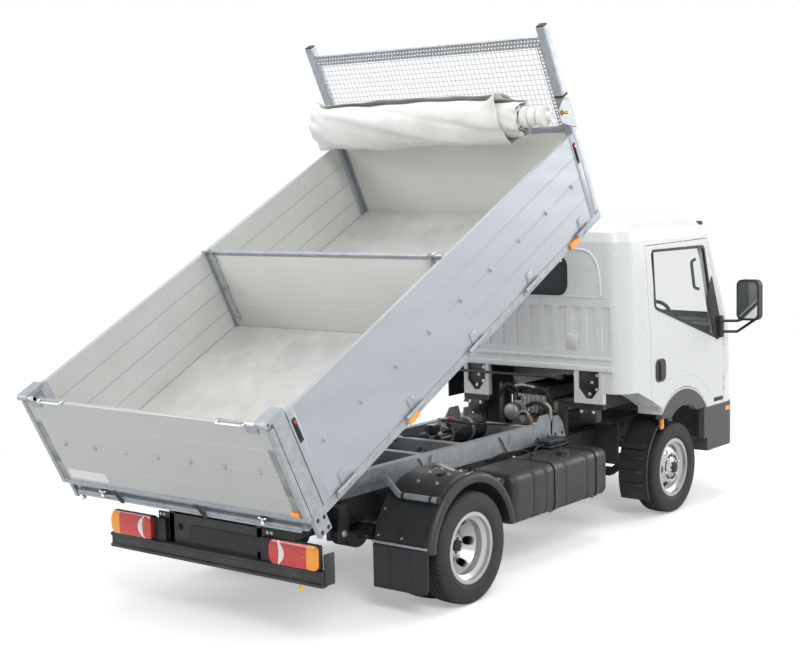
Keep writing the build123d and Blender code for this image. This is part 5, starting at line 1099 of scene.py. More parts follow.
def makeUnderrun(b):
    # a pressed bar: an upper ledge, a sunk face and a lower lip that turns rearwards, carried across the truck
    rows = [(0.465, -1.212), (0.465, -1.254), (0.459, -1.262), (0.447, -1.262), (0.441, -1.25), (0.398, -1.25),
        (0.391, -1.262), (0.378, -1.262), (0.372, -1.256), (0.372, -1.212)]
    body = prism(rows, -b["half"], b["half"], "y")
    sheet = [body]
    # the panel between the lamps, with a long sunk slot and a round boss
    sheet.append(slab((-1.212, -0.485, 0.44), (-1.196, 0.485, 0.64), 0.006, "x"))
    for s in (-1, 1):
        low, high = across(s * 0.34, s * 0.388)
        sheet.append(slab((-1.212, low, 0.38), (-1.1503, high, 0.669), 0.004))
        sheet.append(slab((-1.235, s * 0.874 - 0.004, 0.378), (-1.15, s * 0.874 + 0.004, 0.56), 0.004, "x"))
    showPiece("underrunBar", sheet, "blackFrame", "chassis", 35, replaces=("underrun_bar",))
    sunk = join([slab((-1.2165, -0.42, 0.5), (-1.211, 0.22, 0.585), 0.04, "x", 6),
        tube([(-1.214, 0.3, 0.56), (-1.226, 0.3, 0.56)], 0.018, 20, up=(0, 1, 0))])
    showPiece("barSlot", sunk, "rubberBlack")
    bolts = repeated(facing(hexBolt(0.008, 0.006), (-1, 0, 0)),
        [(-1.212, y, z) for y in (-0.46, -0.43, 0.43, 0.46) for z in (0.48, 0.62)])
    showPiece("barBolts", bolts, "zincBolt")
    tag = prism([(-0.7, 0.366), (-0.752, 0.345), (-0.7, 0.326)][::-1], -1.256, -1.253, "x")
    hang = brick((-1.256, -0.712, 0.36), (-1.2535, -0.7, 0.374))
    showPiece("yellowTag", [tag, hang], "yellowTag", "chassis", 0)


makeUnderrun(bar)
print("rear lamps and bar made")


# ---- rear mudguards: a crowned arch whose outer edge rolls into a lip, the flap below it, and its stays' clamps
guard = {"z": 0.365, "radius": 0.455, "inner": 0.57, "outer": 1.02, "start": 9, "end": 175, "flapLow": 0.15,
    "stayX": (0.3293, -0.3293), "stayZ": 0.706}


def makeRearGuards(g):
    # across the arch: an inner hem, a flat top, a rounded lip that stands proud and a wall that turns down
    turn = np.radians(np.linspace(g["start"], g["end"], 61))
    r, i, o = g["radius"] - 0.014, g["inner"], g["outer"]
    outside = [(i, r - 0.02), (i, r - 0.004), (i + 0.004, r), (o - 0.085, r), (o - 0.07, r + 0.003),
        (o - 0.055, r + 0.011), (o - 0.035, r + 0.014), (o - 0.016, r + 0.01), (o - 0.004, r - 0.001), (o, r - 0.014),
        (o - 0.002, r - 0.03), (o - 0.006, r - 0.044)]
    inside = [(y - (0.005 if y > o - 0.03 else 0.0) + (0.004 if y < i + 0.001 else 0), q - 0.005) for y,
        q in outside[::-1]]
    profile = np.array(outside + inside)
    grid = np.zeros((len(turn), len(profile), 3))
    grid[..., 0] = profile[None, :, 1] * np.cos(turn)[:, None]
    grid[..., 1] = -profile[None, :, 0]
    grid[..., 2] = g["z"] + profile[None, :, 1] * np.sin(turn)[:, None]
    arch = [loops(grid)]
    # the flap hangs from the arch's rear foot, with a rounded lower outer corner and two swages
    x = -(g["radius"] - 0.012)
    flap = np.array([(-i, 0.418), (-i, g["flapLow"]), (-(o - 0.075), g["flapLow"]),
        (-(o - 0.045), g["flapLow"] + 0.012), (-(o - 0.033), g["flapLow"] + 0.04), (-(o - 0.03), 0.418)])
    arch.append(prism(flap, x - 0.0045, x + 0.0035, "x"))
    arch.append(slab((x - 0.008, -(o - 0.04), 0.4), (x + 0.004, -i, 0.416), 0.003, "y"))
    for y in (0.7, 0.86):
        arch.append(slab((x - 0.0075, -y - 0.006, 0.175), (x - 0.003, -y + 0.006, 0.395)))
    # an oval cap pressed into the arch's top
    arch.append(facing(placed(dome(0.06, 0.005, 3, 28), lambda p: p * [1.0, 0.62, 1.0]), (0, 0, 1),
        (-0.03, -0.8, g["z"] + r - 0.0005)))
    showPiece("rearGuards", bothSides(arch), "darkPlastic", "chassis", 35, replaces=("rear_mudguards",))
    strip = slab((x - 0.0075, -(o - 0.033), 0.424), (x - 0.0045, -i + 0.004, 0.44), 0.001, "y")
    tickTurn = np.radians(94)
    tick = facing(slab((-0.026, -0.004, 0), (0.026, 0.004, 0.0012), 0.0005), (np.cos(tickTurn), 0, np.sin(tickTurn)),
        (g["radius"] * np.cos(tickTurn), -(o - 0.03), g["z"] + (g["radius"] + 0.0002) * np.sin(tickTurn)))
    showPiece("guardStrips", bothSides(strip), "galvanised", "chassis", 30)
    showPiece("guardTicks", bothSides(tick), "offWhiteSheet", "chassis", 30)
    # two bolts through each clamp above the stays, black collars, end caps, and bolts down the rear face
    nuts, collars = [], []
    for x0, lean in ((g["stayX"][1], -1), (g["stayX"][0], 1)):
        for y in (0.72, 0.865):
            for off in (28, 44):
                angle = np.radians(90 - lean * (44 - off + 8))
                away = np.array([np.cos(angle), 0, np.sin(angle)])
                nuts.append(facing(hexBolt(0.0095, 0.01), away, (r * np.cos(angle), -y, g["z"] + r * np.sin(angle))))
                nuts.append(tube(
                    [np.array([0, -y, g["z"]]) + away * r, np.array([0, -y, g["z"]]) + away * (r + 0.017)], 0.004, 8,
                    up=(0, 1, 0)))
        for y0, y1, rr in ((0.715, 0.735, 0.0208), (0.925, 0.945, 0.0208), (0.984, 0.993, 0.0205)):
            collars.append(tube([(x0, -y0, g["stayZ"]), (x0, -y1, g["stayZ"])], rr, 20, up=(1, 0, 0)))
    for y, z in ((0.6, 0.47), (0.6, 0.62), (0.78, 0.47)):
        angle = np.pi - np.arcsin((z - g["z"]) / r)
        nuts.append(facing(dome(0.009, 0.006, 3, 12), (np.cos(angle), 0, np.sin(angle)), (r * np.cos(angle), -y, z)))
    showPiece("guardNuts", bothSides(nuts), "zincBolt")
    showPiece("stayCollars", bothSides(collars), "rubberBlack")


makeRearGuards(guard)
print("rear mudguards made")

# ---- fuel tank: a blow-moulded body with a belt seam, ribs, a sunk filler and two straps
tank = {"rear": 0.67, "front": 1.865, "inner": 0.44, "outer": 0.85, "low": 0.33, "high": 0.67, "round": 0.062,
    "straps": (1.18, 1.72), "neck": (1.42, -0.75)}


def makeTank(k):
    # the section is a rounded rectangle that draws in at both ends and at the channels, and steps at the seam
    rear, front, inner, outer, low, high = (k[n] for n in ("rear", "front", "inner", "outer", "low", "high"))
    x = np.concatenate([rear + np.array([0.0, 0.004, 0.012, 0.026, 0.045]),
        np.linspace(rear + 0.07, front - 0.07, 130), front - np.array([0.045, 0.026, 0.012, 0.004, 0.0])])
    end = np.minimum(x - rear, front - x)
    draw = 0.045 * (1 - np.sqrt(1 - np.clip(1 - end / 0.045, 0, 1) ** 2))
    for place in (0.9, 1.05, 1.3, 1.575, 1.79):  # shallow channels across the walls
        draw = draw + 0.007 * np.exp(-(((x - place) / 0.014) ** 2))
    for place in k["straps"]:
        draw = draw + 0.004 * (np.abs(x - place) < 0.026)
    outline = roundRect((-outer, low), (-inner, high), k["round"], 8)
    # more points down the straight walls so that the seam can step
    dense = []
    for p, q in zip(outline, np.roll(outline, -1, 0)):
        steps = max(1, int(np.linalg.norm(q - p) / 0.012))
        dense.append(p + (q - p) * np.arange(steps)[:, None] / steps)
    outline = np.concatenate(dense)
    centre = np.array([-(outer + inner) / 2, (low + high) / 2])
    away = outline - centre
    half = np.array([(outer - inner) / 2, (high - low) / 2])
    shape = centre + away[None] * (1 - draw[:, None, None] / half[None, None])
    seam = np.exp(-(((shape[..., 1] - 0.552) / 0.0045) ** 2)) * 0.004
    outward = np.sign(shape[..., 0] - centre[0])
    shape[..., 0] += outward * (seam - 0.004) * (np.abs(shape[..., 0] - centre[0]) > 0.12)
    grid = np.concatenate([np.broadcast_to(x[:, None, None], shape.shape[:2] + (1,)), shape], -1)
    body = loops(grid)
    nx, ny = k["neck"]
    neck = lathe([(high - 0.012, 0.056), (high - 0.001, 0.054), (high + 0.004, 0.047), (high + 0.02, 0.046),
        (high + 0.022, 0.041), (high + 0.024, 0.043), (high + 0.036, 0.042), (high + 0.039, 0.037),
        (high + 0.039, 0.0001)], (nx, ny, 0), "z", 40)
    sender = lathe([(high - 0.004, 0.052), (high + 0.005, 0.05), (high + 0.007, 0.03), (high + 0.016, 0.028),
        (high + 0.018, 0.0001)], (1.24, -0.62, 0), "z", 32)
    arms = [brick((place - 0.0225, -inner - 0.012, 0.555), (place + 0.0225, -0.3905, 0.635)) for place in k["straps"]]
    showPiece("tankBody", [body, neck, sender] + arms, "darkPlastic", replaces=("fuel_tank",))
    # the straps follow the section a little way out, with a bolt under the outer corner
    straps, nuts = [], []
    around = roundRect((-outer - 0.0005, low - 0.0005), (-inner + 0.0005, high + 0.0005), k["round"], 8)
    for place in k["straps"]:
        ring = np.concatenate([np.full((len(around), 1), place), around], 1)
        straps.append(ribbon(ring, 0.019, 0.0022, centre))
        nuts.append(facing(hexBolt(0.011, 0.014), (0, 0, -1), (place, -outer + 0.05, low - 0.001)))
        nuts.append(facing(hexBolt(0.009, 0.01), (0, 0, 1), (place, -0.5, high + 0.001)))
    showPiece("tankStraps", straps, "blackFrame")
    showPiece("tankNuts", nuts, "zincBolt")
    # hoses from the sender and the filler's breather to the frame
    hoses = [tube(smoothLine(
        [(1.24, -0.62, 0.69), (1.235, -0.56, 0.715), (1.2, -0.48, 0.705), (1.13, -0.42, 0.69), (1.0, -0.407, 0.668)],
        6), 0.007, 8),
        tube(smoothLine(
        [(1.26, -0.61, 0.688), (1.38, -0.56, 0.712), (1.56, -0.5, 0.704), (1.74, -0.43, 0.695), (1.9, -0.404, 0.66)],
        6), 0.006, 8),
        tube(smoothLine(
        [(1.44, -0.72, 0.7), (1.52, -0.66, 0.722), (1.64, -0.56, 0.716), (1.78, -0.47, 0.7), (1.9, -0.404, 0.64)], 6),
        0.005, 8)]
    showPiece("tankHoses", hoses, "rubberBlack", "chassis", 60)
    tray = [slab((1.56, -0.56, 0.676), (1.8, -0.425, 0.69), 0.004),
        slab((1.575, -0.548, 0.69), (1.785, -0.44, 0.73), 0.01, "z", 3),
        slab((1.8, -0.54, 0.684), (1.862, -0.43, 0.694))]
    showPiece("tankTray", tray, "darkPlastic")


def ribbon(ring, half, gauge, centre):
    # a flat band round a closed section: four edges at half the width each way along x, and a gauge inside and out
    away = ring[:, 1:] - centre
    away = away / np.linalg.norm(away, axis=1)[:, None]
    rows = []
    for dx, out in ((-half, 0.0), (half, 0.0), (half, gauge), (-half, gauge)):
        p = ring.copy()
        p[:, 0] += dx
        p[:, 1:] += away * out
        rows.append(p)
    grid = np.stack(rows, 1)
    grid = np.concatenate([grid, grid[:1]])
    return grid.reshape(-1, 3), gridFaces(len(grid), 4)


makeTank(tank)
print("fuel tank made")

# ---- hydraulic pack: oil tank with rolled ends, motor and pump, valve block and hoses
pack = {"tankRear": 1.12, "tankFront": 1.55, "tankRadius": 0.088, "y": 0.06, "z": 0.796, "motorRear": 0.88,
    "motorRadius": 0.062, "motorZ": 0.775}


def makePack(k):
    tankRear, tankFront, motorRear, motorZ, y, z = (
        k[n] for n in ("tankRear", "tankFront", "motorRear", "motorZ", "y", "z"))
    r, m = k["tankRadius"], k["motorRadius"]
    body = lathe([(tankRear, 0.0001), (tankRear, r - 0.016), (tankRear + 0.004, r - 0.006), (tankRear + 0.012, r),
        (tankRear + 0.02, r), (tankRear + 0.022, r - 0.003), (tankFront - 0.022, r - 0.003), (tankFront - 0.02, r),
        (tankFront - 0.012, r), (tankFront - 0.004, r - 0.006), (tankFront, r - 0.016), (tankFront, 0.0001)],
        (0, y, z), "x", 48)
    motor = lathe([(motorRear, 0.0001), (motorRear, m * 0.55), (motorRear + 0.01, m * 0.62),
        (motorRear + 0.012, m * 0.93), (motorRear + 0.02, m), (motorRear + 0.165, m), (motorRear + 0.168, m * 0.9),
        (motorRear + 0.185, m * 0.9), (motorRear + 0.188, m * 0.8), (tankRear + 0.002, m * 0.8),
        (tankRear + 0.002, 0.0001)], (0, y, motorZ), "x", 40)
    tray = slab((0.8405, -0.3395, 0.7), (1.5895, 0.3395, 0.712))
    relay = [slab((0.93, y - 0.06, motorZ + m - 0.01), (1.01, y + 0.02, motorZ + m + 0.05), 0.008),
        tube([(0.9, -0.055, 0.8), (1.03, -0.055, 0.8)], 0.03, 20, up=(0, 1, 0))]
    showPiece("packBody", [body, motor, tray] + relay, "blackGloss", "chassis", 35, replaces=("hydraulic_pack",))
    label = []
    turn = np.radians(np.linspace(115, 175, 14))
    for sx0, sx1, rr in ((1.0, 1.05, m + 0.0006),):
        grid = np.stack([np.stack([np.full_like(turn, sx), y + rr * np.cos(turn), motorZ + rr * np.sin(turn)], -1)
            for sx in (sx0, sx1)])
        inner = np.stack([np.stack(
            [np.full_like(turn, sx), y + (rr - 0.001) * np.cos(turn), motorZ + (rr - 0.001) * np.sin(turn)],
            -1) for sx in (sx0, sx1)])
        label.append(loops(np.concatenate([grid, inner[:, ::-1]], 1)))
    showPiece("packLabel", label, "offWhiteSheet")
    band = lathe([(1.355, r - 0.002), (1.355, r + 0.0006), (1.39, r + 0.0006), (1.39, r - 0.002)], (0, y, z), "x", 48,
        closed=True)
    valve = [slab((1.05, 0.02, 0.82), (1.11, 0.1, 0.88), 0.006, "x"),
        tube([(1.08, 0.06, 0.88), (1.08, 0.06, 0.915)], 0.014, 14, up=(0, 1, 0)),
        tube([(1.06, 0.01, 0.85), (1.06, -0.03, 0.85)], 0.012, 12, up=(1, 0, 0))]
    showPiece("packBand", [band] + valve, "castAlloy", slot="galvanised")
    filler = lathe([(0.0, 0.024), (0.016, 0.024), (0.02, 0.02), (0.02, 0.0001)], (1.2, y, z + r - 0.004), "z", 24)
    # the filler cap takes the glowing red lamp finish, so it glows though it is no lamp: painted light
    showPiece("packFiller", filler, "lampRed")
    hoses = [tube(smoothLine([(0.885, 0.03, 0.76), (0.8, 0.01, 0.752), (0.64, -0.06, 0.735), (0.48, -0.18, 0.72),
        (0.36, -0.15, 0.7), (0.25, -0.08, 0.64)], 7), 0.011, 10),
        tube(smoothLine([(1.06, -0.03, 0.85), (1.0, -0.12, 0.842), (0.86, -0.2, 0.79), (0.7, -0.27, 0.76),
        (0.52, -0.29, 0.745), (0.3, -0.3, 0.735)], 7), 0.009, 10),
        tube(smoothLine([(1.08, 0.06, 0.896), (1.115, 0.0, 0.898), (1.25, -0.08, 0.862), (1.44, -0.12, 0.835),
        (1.6, -0.18, 0.812), (1.76, -0.24, 0.8)], 7), 0.008, 10),
        tube(smoothLine([(0.9, 0.11, 0.8), (0.84, 0.16, 0.815), (0.78, 0.22, 0.79), (0.64, 0.28, 0.77)], 7), 0.007,
        8)]
    showPiece("packHoses", hoses, "rubberBlack", "chassis", 60)


makePack(pack)
print("hydraulic pack made")

# ---- frame: rail bolts, gussets on the subframe, front brackets, springs' clips and cables
rail = {"outer": 0.39, "subOuter": 0.4}


def makeFrameDetails(f):
    bolts, plates, black = [], [], []
    boltHead = facing(hexBolt(0.009, 0.007), (0, -1, 0))
    for x in np.arange(-1.05, 3.35, 0.145):
        for z in (0.545, 0.645):
            bolts.append(shifted(boltHead, (x, -f["outer"] - 0.0005, z)))
    # V-shaped gussets and the two bracket plates at the subframe's front
    for x in (1.215, 0.3, -0.56):
        tri = np.array([(0.81, x - 0.07), (0.69, x + 0.02), (0.69, x + 0.045), (0.81, x + 0.075), (0.8, x + 0.06),
            (0.706, x + 0.034), (0.8, x - 0.045)])
        plates.append(prism(tri[::-1], -f["subOuter"] - 0.016, -f["subOuter"] - 0.0005, "y"))
    plates.append(prism([(0.7, 1.56), (0.7, 1.8), (0.815, 1.8), (0.885, 1.77), (0.885, 1.66), (0.815, 1.6)][::-1],
        -0.408, -0.4005, "y"))
    plates.append(prism(np.array([(0.69, 1.82), (0.69, 2.0), (0.8, 1.96), (0.86, 1.905), (0.86, 1.84)])[::-1], -0.408,
        -0.4005, "y"))
    plates.append(slab((1.64, -0.4, 0.7), (1.98, -0.345, 0.712)))
    for x in (1.62, 1.76, 1.86, 1.95):
        bolts.append(shifted(boltHead, (x, -0.4085, 0.725)))
    showPiece("frameBolts", bothSides(bolts), "blackFrame")
    showPiece("subframePlates", bothSides(plates), "galvanised", "chassis", 30, bevel=0.001)
    # U bolts and pads over the rear axle, clips round the leaves, and shackle bolts
    hardware, steel = [], []
    for y in (0.435, 0.465):
        for x in (-0.055, 0.055):
            hardware.append(tube(roundedLine([(x, -y, 0.29), (x, -y, 0.47)], 0.01), 0.008, 10, up=(0, 1, 0)))
            steel.append(facing(hexBolt(0.013, 0.014), (0, 0, -1), (x, -y, 0.292)))
    hardware.append(slab((-0.085, -0.486, 0.46), (0.085, -0.414, 0.474)))
    hardware.append(slab((-0.085, -0.486, 0.292), (0.085, -0.414, 0.304)))
    for x in (-0.34, 0.34):
        hardware.append(slab((x - 0.014, -0.484, 0.405), (x + 0.014, -0.416, 0.482), 0.003, "x"))
    for x in (-0.62, 0.62):
        steel.append(facing(hexBolt(0.017, 0.014), (0, -1, 0), (x, -0.4925, 0.5)))
    for y in (-0.205, -0.16):
        black.append(tube(smoothLine(
            [(-1.1, y - 0.16, 0.6), (-0.8, y - 0.165, 0.592), (-0.4, y - 0.16, 0.605), (0.1, y - 0.165, 0.598)], 6),
            0.006, 8))
    showPiece("springHardware", bothSides(hardware), "blackFrame")
    showPiece("springNuts", bothSides(steel), "zincBolt")
    showPiece("frameLines", bothSides(black), "rubberBlack", "chassis", 60)


makeFrameDetails(rail)
print("frame details made")


# ---- cab, outside: rear wall's creases and arch, window rubbers, hoops, handles, trims, seams
cab = {"rear": 2.03, "half": 0.905, "belt": 1.374, "slope": 0.0335, "window": (0.405, 1.74, 2.01, 0.07),
    "hoops": ((0.295, 0.53), (-0.715, -0.47))}
doorLine = [(2.408, 0.945), (2.39, 1.54), (2.36, 2.076), (3.317, 2.09), (3.575, 1.374), (3.575, 0.775)]
windowLine = [(2.478, 1.618), (2.438, 2.036), (3.272, 2.03), (3.44, 1.31)]


def wallY(z, k=cab):
    # the side wall stands upright to the belt line and leans in above it
    return k["half"] - k["slope"] * np.clip(np.asarray(z) - k["belt"], 0, None)


def onWall(points, proud):
    # places along and up on the right wall, a way out of it
    p = np.asarray(points, float)
    return np.stack([p[:, 0], -(wallY(p[:, 1]) + proud), p[:, 1]], -1)


def makeCabRear(k):
    x = k["rear"]
    white = [slab((x - 0.006, -0.775, 1.262), (x + 0.002, 0.775, 1.286), 0.003, "y"),
        slab((x - 0.004, -0.755, 1.716), (x + 0.002, 0.755, 1.728), 0.003, "y"),
        slab((x - 0.014, -0.8, 1.18), (x + 0.004, 0.8, 1.222), 0.005, "y", 3),
        slab((x - 0.004, -0.5, 1.33), (x + 0.002, -0.405, 1.45), 0.004, "x")]
    arch = smoothLine([(x + 0.003, -0.7, 1.735), (x + 0.003, -0.686, 1.9), (x + 0.003, -0.64, 2.01),
        (x + 0.003, -0.52, 2.068), (x + 0.003, 0.0, 2.072), (x + 0.003, 0.52, 2.068), (x + 0.003, 0.64, 2.01),
        (x + 0.003, 0.686, 1.9), (x + 0.003, 0.7, 1.735)], 8)
    white.append(carried(circle(0.011, 12), arch, up=(1, 0, 0)))
    for near, far in k["hoops"]:  # chamfers in the hoops' lower corners
        low, high = across(near, far)
        for y, s in ((low + 0.034, 1), (high - 0.034, -1)):
            tri = np.array([(y, 0.975), (y + s * 0.062, 0.975), (y, 1.05)])
            white.append(prism(tri, x - 0.003, x + 0.035, "x"))
    showPiece("cabRearCreases", white, "whitePaint", "cab")
    half, low, high, turn = k["window"]
    ring = roundRect((-half, low), (half, high), turn, 8)
    ring = np.concatenate([np.full((len(ring), 1), x + 0.001), ring], 1)
    rubber = carried(
        np.array([(0.016, 0.0), (0.012, 0.006), (-0.004, 0.007), (-0.012, 0.003), (-0.012, -0.01), (0.016, -0.004)]),
        ring, up=(-1, 0, 0), closed=True)
    showPiece("rearWindowRubber", rubber, "rubberBlack", "cab")
    dark, bolts, feet, footBolts = [], [], [], []
    for near, far in k["hoops"]:
        low, high = across(near, far)
        dark.append(slab((x + 0.01, low + 0.012, 0.96), (x + 0.02, high - 0.012, 1.185), 0.012, "x"))
        feet.append(
            slab((x - 0.02, (low + high) / 2 - 0.075, 0.8), (x + 0.06, (low + high) / 2 + 0.075, 0.905), 0.01, "y"))
        for dy, z in ((0.055, 1.15), (0.1, 1.095), (0.06, 1.045), (0.12, 1.01)):
            bolts.append(facing(hexBolt(0.01, 0.008), (-1, 0, 0), (x + 0.009, low + dy, z)))
        for dy in (-0.05, 0.05):
            footBolts.append(facing(hexBolt(0.01, 0.009), (-1, 0, 0), (x - 0.0205, (low + high) / 2 + dy, 0.88)))
    dark.append(tube([(x - 0.022, 0.676, 1.12), (x - 0.022, -0.366, 1.12)], 0.01, 12))
    for y in (0.64, -0.34):
        dark.append(slab((x - 0.036, y - 0.014, 1.105), (x + 0.04, y + 0.014, 1.136), 0.004, "x"))
    showPiece("cabHoopPlates", dark, "blackFrame", "cab")
    showPiece("cabMounts", feet, "blackFrame")
    showPiece("cabMountBolts", footBolts, "zincBolt")
    bolts.append(facing(dome(0.008, 0.004, 3, 12), (-1, 0, 0), (x - 0.014, -0.76, 1.2)))
    showPiece("cabHoopBolts", bolts, "zincBolt", "cab")


makeCabRear(cab)


def makeCabSides():
    seal = onWall(roundedLine([(p[0], p[1], 0) for p in doorLine], 0.03, 6)[:, :2], -0.014)
    line = tube(seal, 0.0021, 6, up=(0, 1, 0))
    showPiece("doorSeals", bothSides(line), "rubberBlack", "cab", 60)
    roof = [slab((3.292, -0.842, 2.196), (3.352, -0.8, 2.226), 0.01, "x", 3),
        tube([(3.318, -0.812, 2.18), (3.318, -0.812, 2.205)], 0.01, 12, up=(0, 1, 0))]
    showPiece("roofMarkers", bothSides(roof), "rubberBlack", "cab")
    arch = np.radians(np.linspace(42, 136, 40))
    crease = np.stack([2.9 + 0.572 * np.cos(arch), np.full(40, -0.9045), 0.505 + 0.572 * np.sin(arch)], -1)
    for hand, s in (("right", 1), ("left", -1)):
        turn = (lambda p: p) if s == 1 else mirrored
        body = f"door_{hand}"
        p = onWall(
            roundedLine([(q[0], q[1], 0) for q in windowLine + [windowLine[0], windowLine[1]]], 0.03, 6)[6:-1, :2],
            0.0)
        windowFrame = carried(np.array([(0.012, -0.012), (0.012, 0.004), (-0.01, 0.004), (-0.01, -0.012)]), p,
            up=(0, -1, 0), closed=True)
        sail = onWallPrism(
            [(3.33, 1.7), (3.292, 1.6), (3.41, 1.318), (3.452, 1.286), (3.505, 1.3), (3.512, 1.44), (3.392, 1.79)],
            0.001, 0.007)
        foot = slab((3.462, -0.938, 1.3), (3.52, -0.909, 1.475), 0.01, "x")
        handle = [slab((2.463, -0.914, 1.062), (2.611, -0.9035, 1.232), 0.045, "y", 8)]
        showPiece(f"windowTrim_{hand}", turn([windowFrame, sail, foot]), "rubberBlack", body)
        cup = [shifted(facing(dome(0.052, -0.0001, 3, 28), (0, -1, 0)), (2.537, -0.9145, 1.147)),
            slab((2.507, -0.926, 1.076), (2.54, -0.913, 1.218), 0.01, "z", 3)]
        showPiece(f"doorHandle_{hand}", turn(handle + cup), "darkPlastic", body)
        showPiece(f"doorCrease_{hand}", turn(tube(crease, 0.0035, 8, up=(0, 1, 0))), "whitePaint", body, 60)
        badge = slab((3.404, -0.9075, 0.796), (3.56, -0.9035, 0.826), 0.002, "y")
        showPiece(f"doorBadge_{hand}", turn(badge), "rubberBlack", body, 30)
        # mirror: glass with a rim, facing straight back
        glass = slab((3.5105, -1.222, 1.458), (3.5145, -1.058, 1.742), 0.036, "x", 6)
        rim = carried(circle(0.006, 8),
            np.concatenate([np.full((28, 1), 3.514), roundRect((-1.226, 1.454), (-1.054, 1.746), 0.04, 6)], 1),
            up=(1, 0, 0), closed=True)
        showPiece(f"mirrorGlass_{hand}", turn(glass), "mirrorFace", body)
        showPiece(f"mirrorRim_{hand}", turn(rim), "rubberBlack", body, 50)


def onWallPrism(points, inner, outer):
    # a flat outline laid on the leaning wall, between two distances out of it
    p = np.asarray(points, float)
    return loops(np.stack([onWall(p, inner), onWall(p, outer)]))


makeCabSides()
print("cab sides and rear made")


def makeCabFront():
    def front(z, y):
        # the bowed nose: a place on it from the middle and corner lines, read between the cab's sections
        zs = (0.77, 1.374, 2.12, 2.19)
        middle, sideX = np.interp(z, zs, (3.888, 3.83, 3.5, 3.455)), np.interp(z, zs, (3.76, 3.752, 3.44, 3.4))
        return middle - (middle - sideX) * (np.abs(y) / np.interp(z, zs, (0.905, 0.905, 0.88, 0.855))) ** 2

    black = []
    y = np.linspace(-0.76, 0.76, 40)
    for low, high in ((1.42, 1.475), (2.02, 2.058)):
        rows = []
        for z, out in ((low, 0.003), (high, 0.003), (high, -0.008), (low, -0.008)):
            rows.append(np.stack([front(z, y) + out - 0.012, y, np.full_like(y, z)], -1))
        black.append(loops(np.stack(rows, 1)))
    for start in (-0.42, 0.22):  # wipers: an arm and its blade, parked along the screen's foot
        reach = np.linspace(start, start + 0.5, 16)
        z = 1.405 + 0.06 * np.sin(np.linspace(0, 1.3, 16))
        black.append(tube(np.stack([front(z, reach) + 0.014, reach, z], -1), 0.006, 8))
        blade = np.linspace(start + 0.06, start + 0.6, 16)
        z = np.full(16, 1.462)
        black.append(tube(np.stack([front(z, blade) + 0.006, blade, z], -1), 0.005, 8))
        black.append(tube([(front(1.4, start) - 0.004, start, 1.4), (front(1.4, start) + 0.022, start, 1.405)], 0.014,
            12, up=(0, 1, 0)))
    showPiece("screenTrim", black, "rubberBlack", "cab")
    lenses, amber = [], []
    for s in (-1, 1):
        for y0, z0, r in ((0.64, 0.905, 0.062), (0.78, 0.905, 0.055)):
            lenses.append(facing(
                lathe([(0, r), (0.006, r), (0.01, r * 0.9), (0.012, r * 0.5), (0.013, 0.0001)], (0, 0, 0), "z", 36),
                (1, 0, 0), (front(z0, y0) - 0.01, s * y0, z0)))
        lenses.append(facing(lathe([(0, 0.045), (0.004, 0.045), (0.008, 0.03), (0.009, 0.0001)], (0, 0, 0), "z", 28),
            (1, 0, 0), (3.838, s * 0.6, 0.53)))
    showPiece("frontLenses", lenses, "lampClear", "cab")
    for s in (-1, 1):
        amber.append(slab((3.6, s * 0.905 - 0.006, 0.7), (3.68, s * 0.905 + 0.006, 0.735), 0.008, "y"))
    showPiece("frontIndicators", amber, "lampAmber", "cab")
    groove = []
    lineSection = ((-0.006, 0.0), (-0.003, 0.003), (0.003, 0.003), (0.006, 0.0), (0.006, -0.006), (-0.006, -0.006))
    for z, s in ((0.7, -1), (0.7, 1), (0.48, -1), (0.48, 1)):
        y = s * np.linspace(0.17, 0.84, 30)
        rows = [np.stack([3.9 + out - 0.128 * (y / 0.905) ** 2, y, np.full_like(y, z + dz)], -1) for dz,
            out in lineSection]
        groove.append(loops(np.stack(rows, 1)))
    showPiece("bumperLines", groove, "bumperGrey", "cab")


makeCabFront()
# black sheets under the cab floor and down both sides of the engine bay: painted shade that darkens the bay under the
# cab
bayShade = [brick((2.045, -0.69, 1.17), (2.94, 0.69, 1.178))]
for side in (-1, 1):
    low, high = across(side * 0.688, side * 0.698)
    bayShade.append(brick((2.045, low, 0.9), (2.94, high, 1.178)))
showPiece("engineBayShade", bayShade, "rubberBlack", "cab", 30)
print("cab front made")

# ---- front mudguards' lips, ribs and stiffening panels, and marker lamps
frontGuard = {"x": 2.88, "z": 0.35, "radius": 0.446, "outer": 0.842, "inner": 0.6}


def makeFrontGuards(g):
    x, z, outer = g["x"], g["z"], g["outer"]
    turn = np.radians(np.linspace(109, 204, 40))
    path = np.stack([x + g["radius"] * np.cos(turn), np.full(40, -outer + 0.006), z + g["radius"] * np.sin(turn)], -1)
    dark = [carried(circle(0.009, 10), path, up=(0, 1, 0))]
    for k in range(4):  # ribs down the back, and a stiffening panel to the frame
        angle = np.radians(150 + 13 * k)
        dark.append(slab((x + 0.449 * np.cos(angle) - 0.01, -outer + 0.03, z + 0.449 * np.sin(angle) - 0.012),
            (x + 0.449 * np.cos(angle) + 0.004, -g["inner"] - 0.01, z + 0.449 * np.sin(angle) + 0.012), 0.004, "y"))
    dark.append(slab((2.432, -0.6, 0.42), (2.446, -0.396, 0.76), 0.006, "x"))
    dark.append(slab((2.3, -0.6, 0.745), (2.446, -0.396, 0.757), 0.004))
    showPiece("frontGuardLips", bothSides(dark), "darkPlastic")
    marker = slab((2.634, -outer - 0.018, 0.68), (2.672, -outer + 0.004, 0.765), 0.008, "y", 3)
    showPiece("frontMarkers", bothSides(marker), "lampAmber")


makeFrontGuards(frontGuard)
print("front mudguards made")


# ---- engine and gearbox, seen from behind the cab
motor = {"rear": 2.07, "front": 2.85, "boxRear": 1.799, "seed": 5, "spots": 40, "spotBolts": 18}


